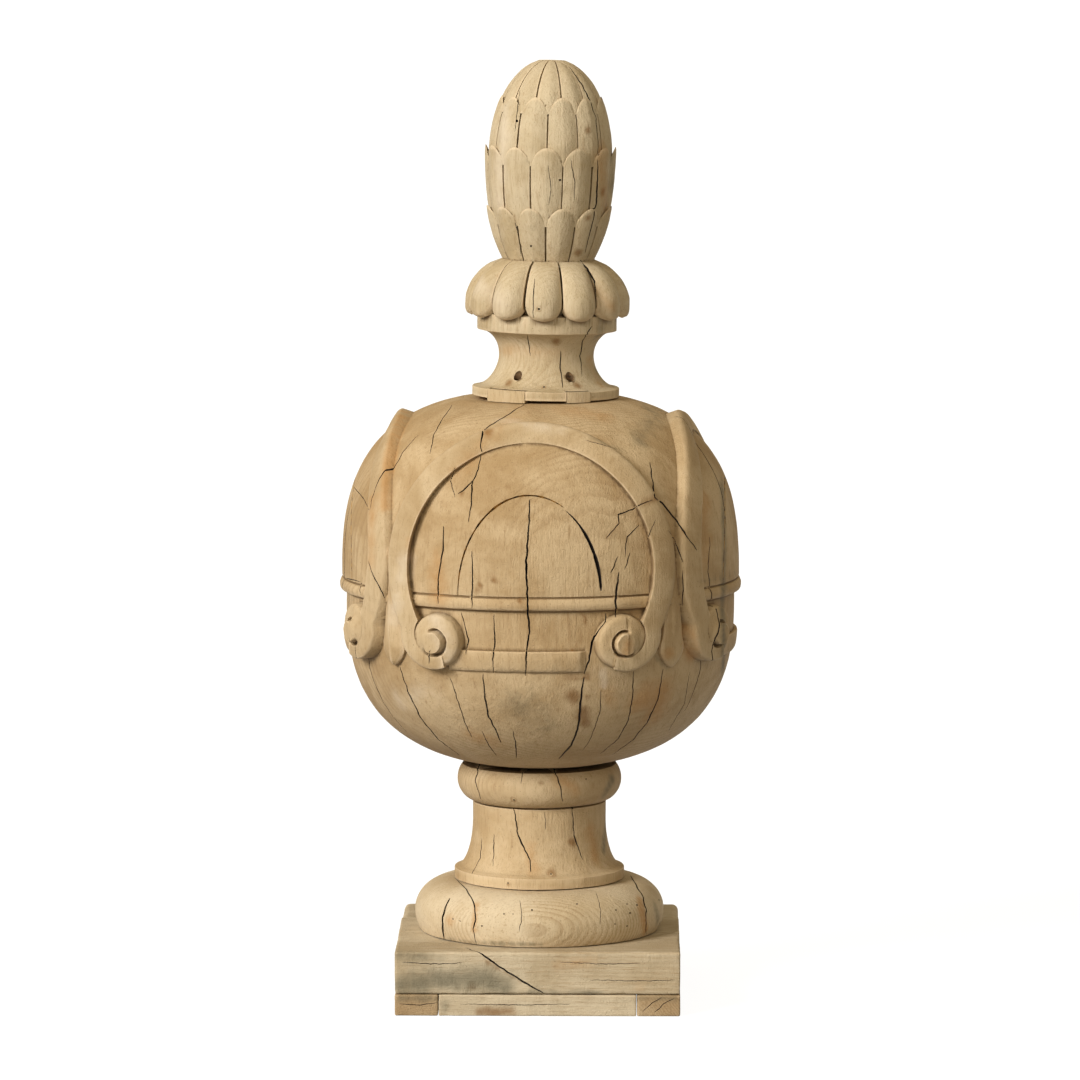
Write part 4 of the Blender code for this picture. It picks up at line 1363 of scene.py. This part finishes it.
turnedMarks = {
    "foot": {
        "orange": ((((476, 905), (474, 930)), 8, 0.9), (((640, 900), (645, 930)), 12, 0.9), (((450, 920),), 12, 0.7)),
        "stain": ((((643, 897), (646, 930)), 4, 0.7), (((560, 884),), 9, 0.5)),
        # grime under the foot's bulge and on its right side is painted shade
        "grimeAndShade": ((((420, 935), (470, 942), (540, 945)), 6, 0.6), (((655, 905), (660, 930)), 12, 0.6)),
    },
    "stemTurning": {
        "stain": ((((572, 842),), 10, 0.9), (((551, 873),), 10, 0.9), (((508, 883),), 4, 1.2)),
        "orange": ((((530, 850), (535, 870)), 16, 0.5), (((590, 830), (596, 860)), 16, 0.6)),
        # grime on the stem's right side is painted shade
        "grimeAndShade": ((((606, 812), (604, 850)), 12, 0.7),),
    },
    "collar": {
        "stain": ((((514, 800),), 6, 1.1), (((541, 783),), 6, 0.6)),
        "orange": ((((560, 780), (575, 790)), 16, 0.6),),
        # grime on the collar's right side and just under the ball is painted shade
        "grimeAndShade": ((((612, 780), (604, 795)), 12, 0.7), (((470, 763), (540, 762), (600, 764)), 7, 0.6)),
    },
}
drills = {
    "foot": (
        (504, 914), (513, 914), (532, 910), (577, 904), (616, 910), (630, 913), (627, 904),
        (637, 905), (615, 924),
        (627, 926), (453, 919), (460, 921), (659, 900), (482, 926),
    ),
    "stemTurning": ((508, 883), (551, 874)),
    "collar": ((514, 800), (586, 779)),
}
for name, node, profile, material in turnedPieces:
    piece = makeTurned(name, profile, material)
    grades = ((60 * mm, 0.9 * mm), (14 * mm, 0.35 * mm), (4 * mm, 0.12 * mm))
    finishTurned(piece, grades, len(name), turnedCracks[name], turnedMarks[name])
    drillHoles(piece, drills[name], 1.0, len(name))
    finishPiece(piece, node)

# The plinth's boards

boards = {  # how round their edges are worn, how rough they are, their wood
    "plinth_front_board": (2.6, 0.9, boardPine, "grey_pine"),
    "plinth_middle_board": (1.2, 0.6, boardPine, "grey_pine"),
    "plinth_back_board": (7.0, 0.8, boardPine, "grey_pine"),
    "base_board": (1.4, 0.7, boardPine, "grey_pine"),
    "left_cleat": (1.6, 0.7, cleatEnd, "end_grain"),
    "right_cleat": (1.6, 0.7, cleatEnd, "end_grain"),
}


def cuts(length, spacing):  # finer near both ends
    near = [0, 0.4, 1, 2, 3.5, 5.5, 8]
    ends = [v * mm for v in near if v * mm < length / 2 - mm]
    middle = length - 2 * ends[-1]
    count = max(1, round(middle / spacing))
    inner = [ends[-1] + middle * i / count for i in range(1, count)]
    return ends + inner + [length - v for v in reversed(ends)]


def boxSkin(name, low, high, spacing):
    axes = [cuts(b - a, spacing) for a, b in zip(low, high)]
    last = [len(a) - 1 for a in axes]
    points, index, faces = [], {}, []

    def at(i, j, k):
        if (i, j, k) not in index:
            index[(i, j, k)] = len(points)
            points.append(Vector((low[0] + axes[0][i], low[1] + axes[1][j], low[2] + axes[2][k])))
        return index[(i, j, k)]

    for axis in range(3):
        one, two = (axis + 1) % 3, (axis + 2) % 3
        for end in (0, last[axis]):
            for a in range(last[one]):
                for b in range(last[two]):
                    quad = []
                    for da, db in ((0, 0), (1, 0), (1, 1), (0, 1)):
                        spot = [0, 0, 0]
                        spot[axis], spot[one], spot[two] = end, a + da, b + db
                        quad.append(at(*spot))
                    faces.append(quad)
    return makePiece(name, points, faces)


def wearBox(obj, low, high, edge, rough, seed):
    middle = [(a + b) / 2 for a, b in zip(low, high)]
    half = [(b - a) / 2 for a, b in zip(low, high)]
    moved = []
    for place in [v.co.copy() for v in obj.data.vertices]:
        lively = noise.noise(place * 14 + Vector((seed, 0, 0)))
        radius = min(edge * (1 + 0.8 * lively) * mm + 0.3 * mm, min(half) * 0.8)
        arm = [place[i] - middle[i] for i in range(3)]
        over = [max(0.0, abs(arm[i]) - (half[i] - radius)) for i in range(3)]
        long = math.sqrt(sum(o * o for o in over))
        if long > radius:
            for i in range(3):
                if over[i]:
                    reach = half[i] - radius + over[i] * radius / long
                    arm[i] = math.copysign(reach, arm[i])
        along = Vector((place.x * 12, place.y * 170, place.z * 170))
        fibres = noise.noise(along + Vector((seed, 0, 0)))
        dents = max(0.0, noise.noise(place * 45 + Vector((0, seed, 0))) - 0.2)
        sink = (0.35 * fibres + 0.35 + dents) * rough * mm
        moved.extend(middle[i] + arm[i] * (1 - sink / half[i]) for i in range(3))
    obj.data.vertices.foreach_set("co", moved)
    obj.data.update()


boardCracks = {
    "plinth_front_board": (
        (((466, 948), (480, 953), (494, 963), (519, 979), (546, 995)), 2.2, 8),
        (((402, 962), (430, 964), (462, 963)), 1.0, 4),
        (((560, 962), (600, 964), (640, 963)), 0.8, 3),
        (((590, 980), (640, 981), (676, 980)), 0.8, 3),
    ),
    "base_board": ((((460, 1004), (520, 1005), (570, 1004)), 0.8, 3),),
    "right_cleat": (
        (((642, 1012), (652, 1003), (662, 997)), 1.0, 3),
        (((654, 1013), (664, 1004), (674, 998)), 1.0, 3),
    ),
    "left_cleat": ((((400, 1004), (420, 1005), (437, 1003)), 1.0, 3),),
}
# grime on the boards: moss and dirt on the front board, and painted shade along the meeting of the two layers, where
# the upper boards overhang
boardMarks = {
    "plinth_front_board": {
        "grimeAndShade": (
            (((404, 985), (440, 980), (480, 978), (505, 985)), 26, 0.85),
            (((400, 955), (440, 958)), 16, 0.5),
            (((530, 992), (600, 993)), 8, 0.5),
        ),
        "orange": ((((560, 965), (590, 960)), 16, 0.4), (((640, 985),), 14, 0.4)),
        "stain": ((((484, 960), (520, 982)), 5, 0.7), (((472, 986),), 9, 0.6)),
    },
    "base_board": {"stain": ((((480, 1012), (510, 1011)), 12, 0.8),), "grimeAndShade": ((((445, 1005),), 14, 0.6),)},
    "plinth_back_board": {"grimeAndShade": ((((400, 921), (420, 917)), 20, 0.3),)},
    "left_cleat": {"grimeAndShade": ((((400, 998), (436, 998)), 9, 0.6),)},
    "right_cleat": {"grimeAndShade": ((((640, 998), (675, 998)), 8, 0.5),)},
}
for number, (node, (edge, rough, material, slot)) in enumerate(boards.items()):
    low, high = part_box(node)
    piece = boxSkin(node + "_piece", low, high, 5.5 * mm)
    piece.data.materials.append(material)
    wearBox(piece, low, high, edge, rough, number * 3.1)
    markWearAndHollowShade(piece)
    if node in boardCracks:
        cutCracks(piece, treeOf(piece), boardCracks[node], crackDirtAndShade)
    for kind, spots in boardMarks.get(node, {}).items():
        paint(piece, kind, spots)
    finishPiece(piece, node)

for node in ("rim_patch_left", "rim_patch_right", "rim_wedge"):
    for slot in bpy.data.objects[node].material_slots:
        slot.material = patchPine

# Light, floor and background

studio = {
    "key": 3.1,
    "keyTurn": (63, 0, -48),
    "fill": 0.5,
    "fillTurn": (84, 0, 4),
    "sky": 0.5,
    "skyTint": (1.0, 0.86, 0.6, 1),
    "background": 1.0,
    "floor": (0.2, 0.2, 0.2, 1),
    "floorGlow": 0.93,
}


def addSun(name, strength, turn, softness, colour):
    data = bpy.data.lights.new(name, "SUN")
    data.energy = strength
    data.angle = math.radians(softness)
    data.color = colour
    obj = bpy.data.objects.new(name, data)
    bpy.context.scene.collection.objects.link(obj)
    obj.rotation_euler = [math.radians(t) for t in turn]


def addStudio():
    addSun("keyLight", studio["key"], studio["keyTurn"], 22, (1.0, 0.97, 0.92))
    addSun("fillLight", studio["fill"], studio["fillTurn"], 50, (1.0, 0.93, 0.8))
    world = bpy.data.worlds.new("studio")
    bpy.context.scene.world = world
    world.use_nodes = True
    tree = world.node_tree
    sky = tree.nodes["Background"]
    sky.inputs["Color"].default_value = studio["skyTint"]
    way = addNode(tree, "ShaderNodeTexCoord").outputs["Generated"]
    split = addNode(tree, "ShaderNodeSeparateXYZ", {0: way})
    height = grade(tree, split.outputs["Z"], -0.5, 0.7, (0.2, studio["sky"]))
    tree.links.new(height, sky.inputs["Strength"])
    white = addNode(tree, "ShaderNodeBackground", {"Strength": studio["background"]})
    white.inputs["Color"].default_value = (1, 1, 1, 1)
    seen = addNode(tree, "ShaderNodeLightPath").outputs["Is Camera Ray"]
    both = addNode(tree, "ShaderNodeMixShader", {0: seen, 1: sky.outputs[0], 2: white.outputs[0]})
    tree.links.new(both.outputs[0], tree.nodes["World Output"].inputs["Surface"])
    mesh = bpy.data.meshes.new("floor")
    wide = 90.0
    corners = [(-wide, -wide, 0), (wide, -wide, 0), (wide, wide, 0), (-wide, wide, 0)]
    mesh.from_pydata(corners, [], [(0, 1, 2, 3)])
    floor = bpy.data.objects.new("floor", mesh)
    bpy.context.scene.collection.objects.link(floor)
    material = bpy.data.materials.new("paleFloor")
    material.use_nodes = True
    shader = material.node_tree.nodes["Principled BSDF"]
    shader.inputs["Base Color"].default_value = studio["floor"]
    shader.inputs["Roughness"].default_value = 0.9
    shader.inputs["Specular IOR Level"].default_value = 0.0
    shader.inputs["Emission Color"].default_value = (1, 1, 1, 1)
    shader.inputs["Emission Strength"].default_value = studio["floorGlow"]
    mesh.materials.append(material)
    floor.visible_diffuse = False  # its glow doesn't light the carving from below
    bpy.context.scene.view_settings.view_transform = "Standard"


addCamera()
addStudio()
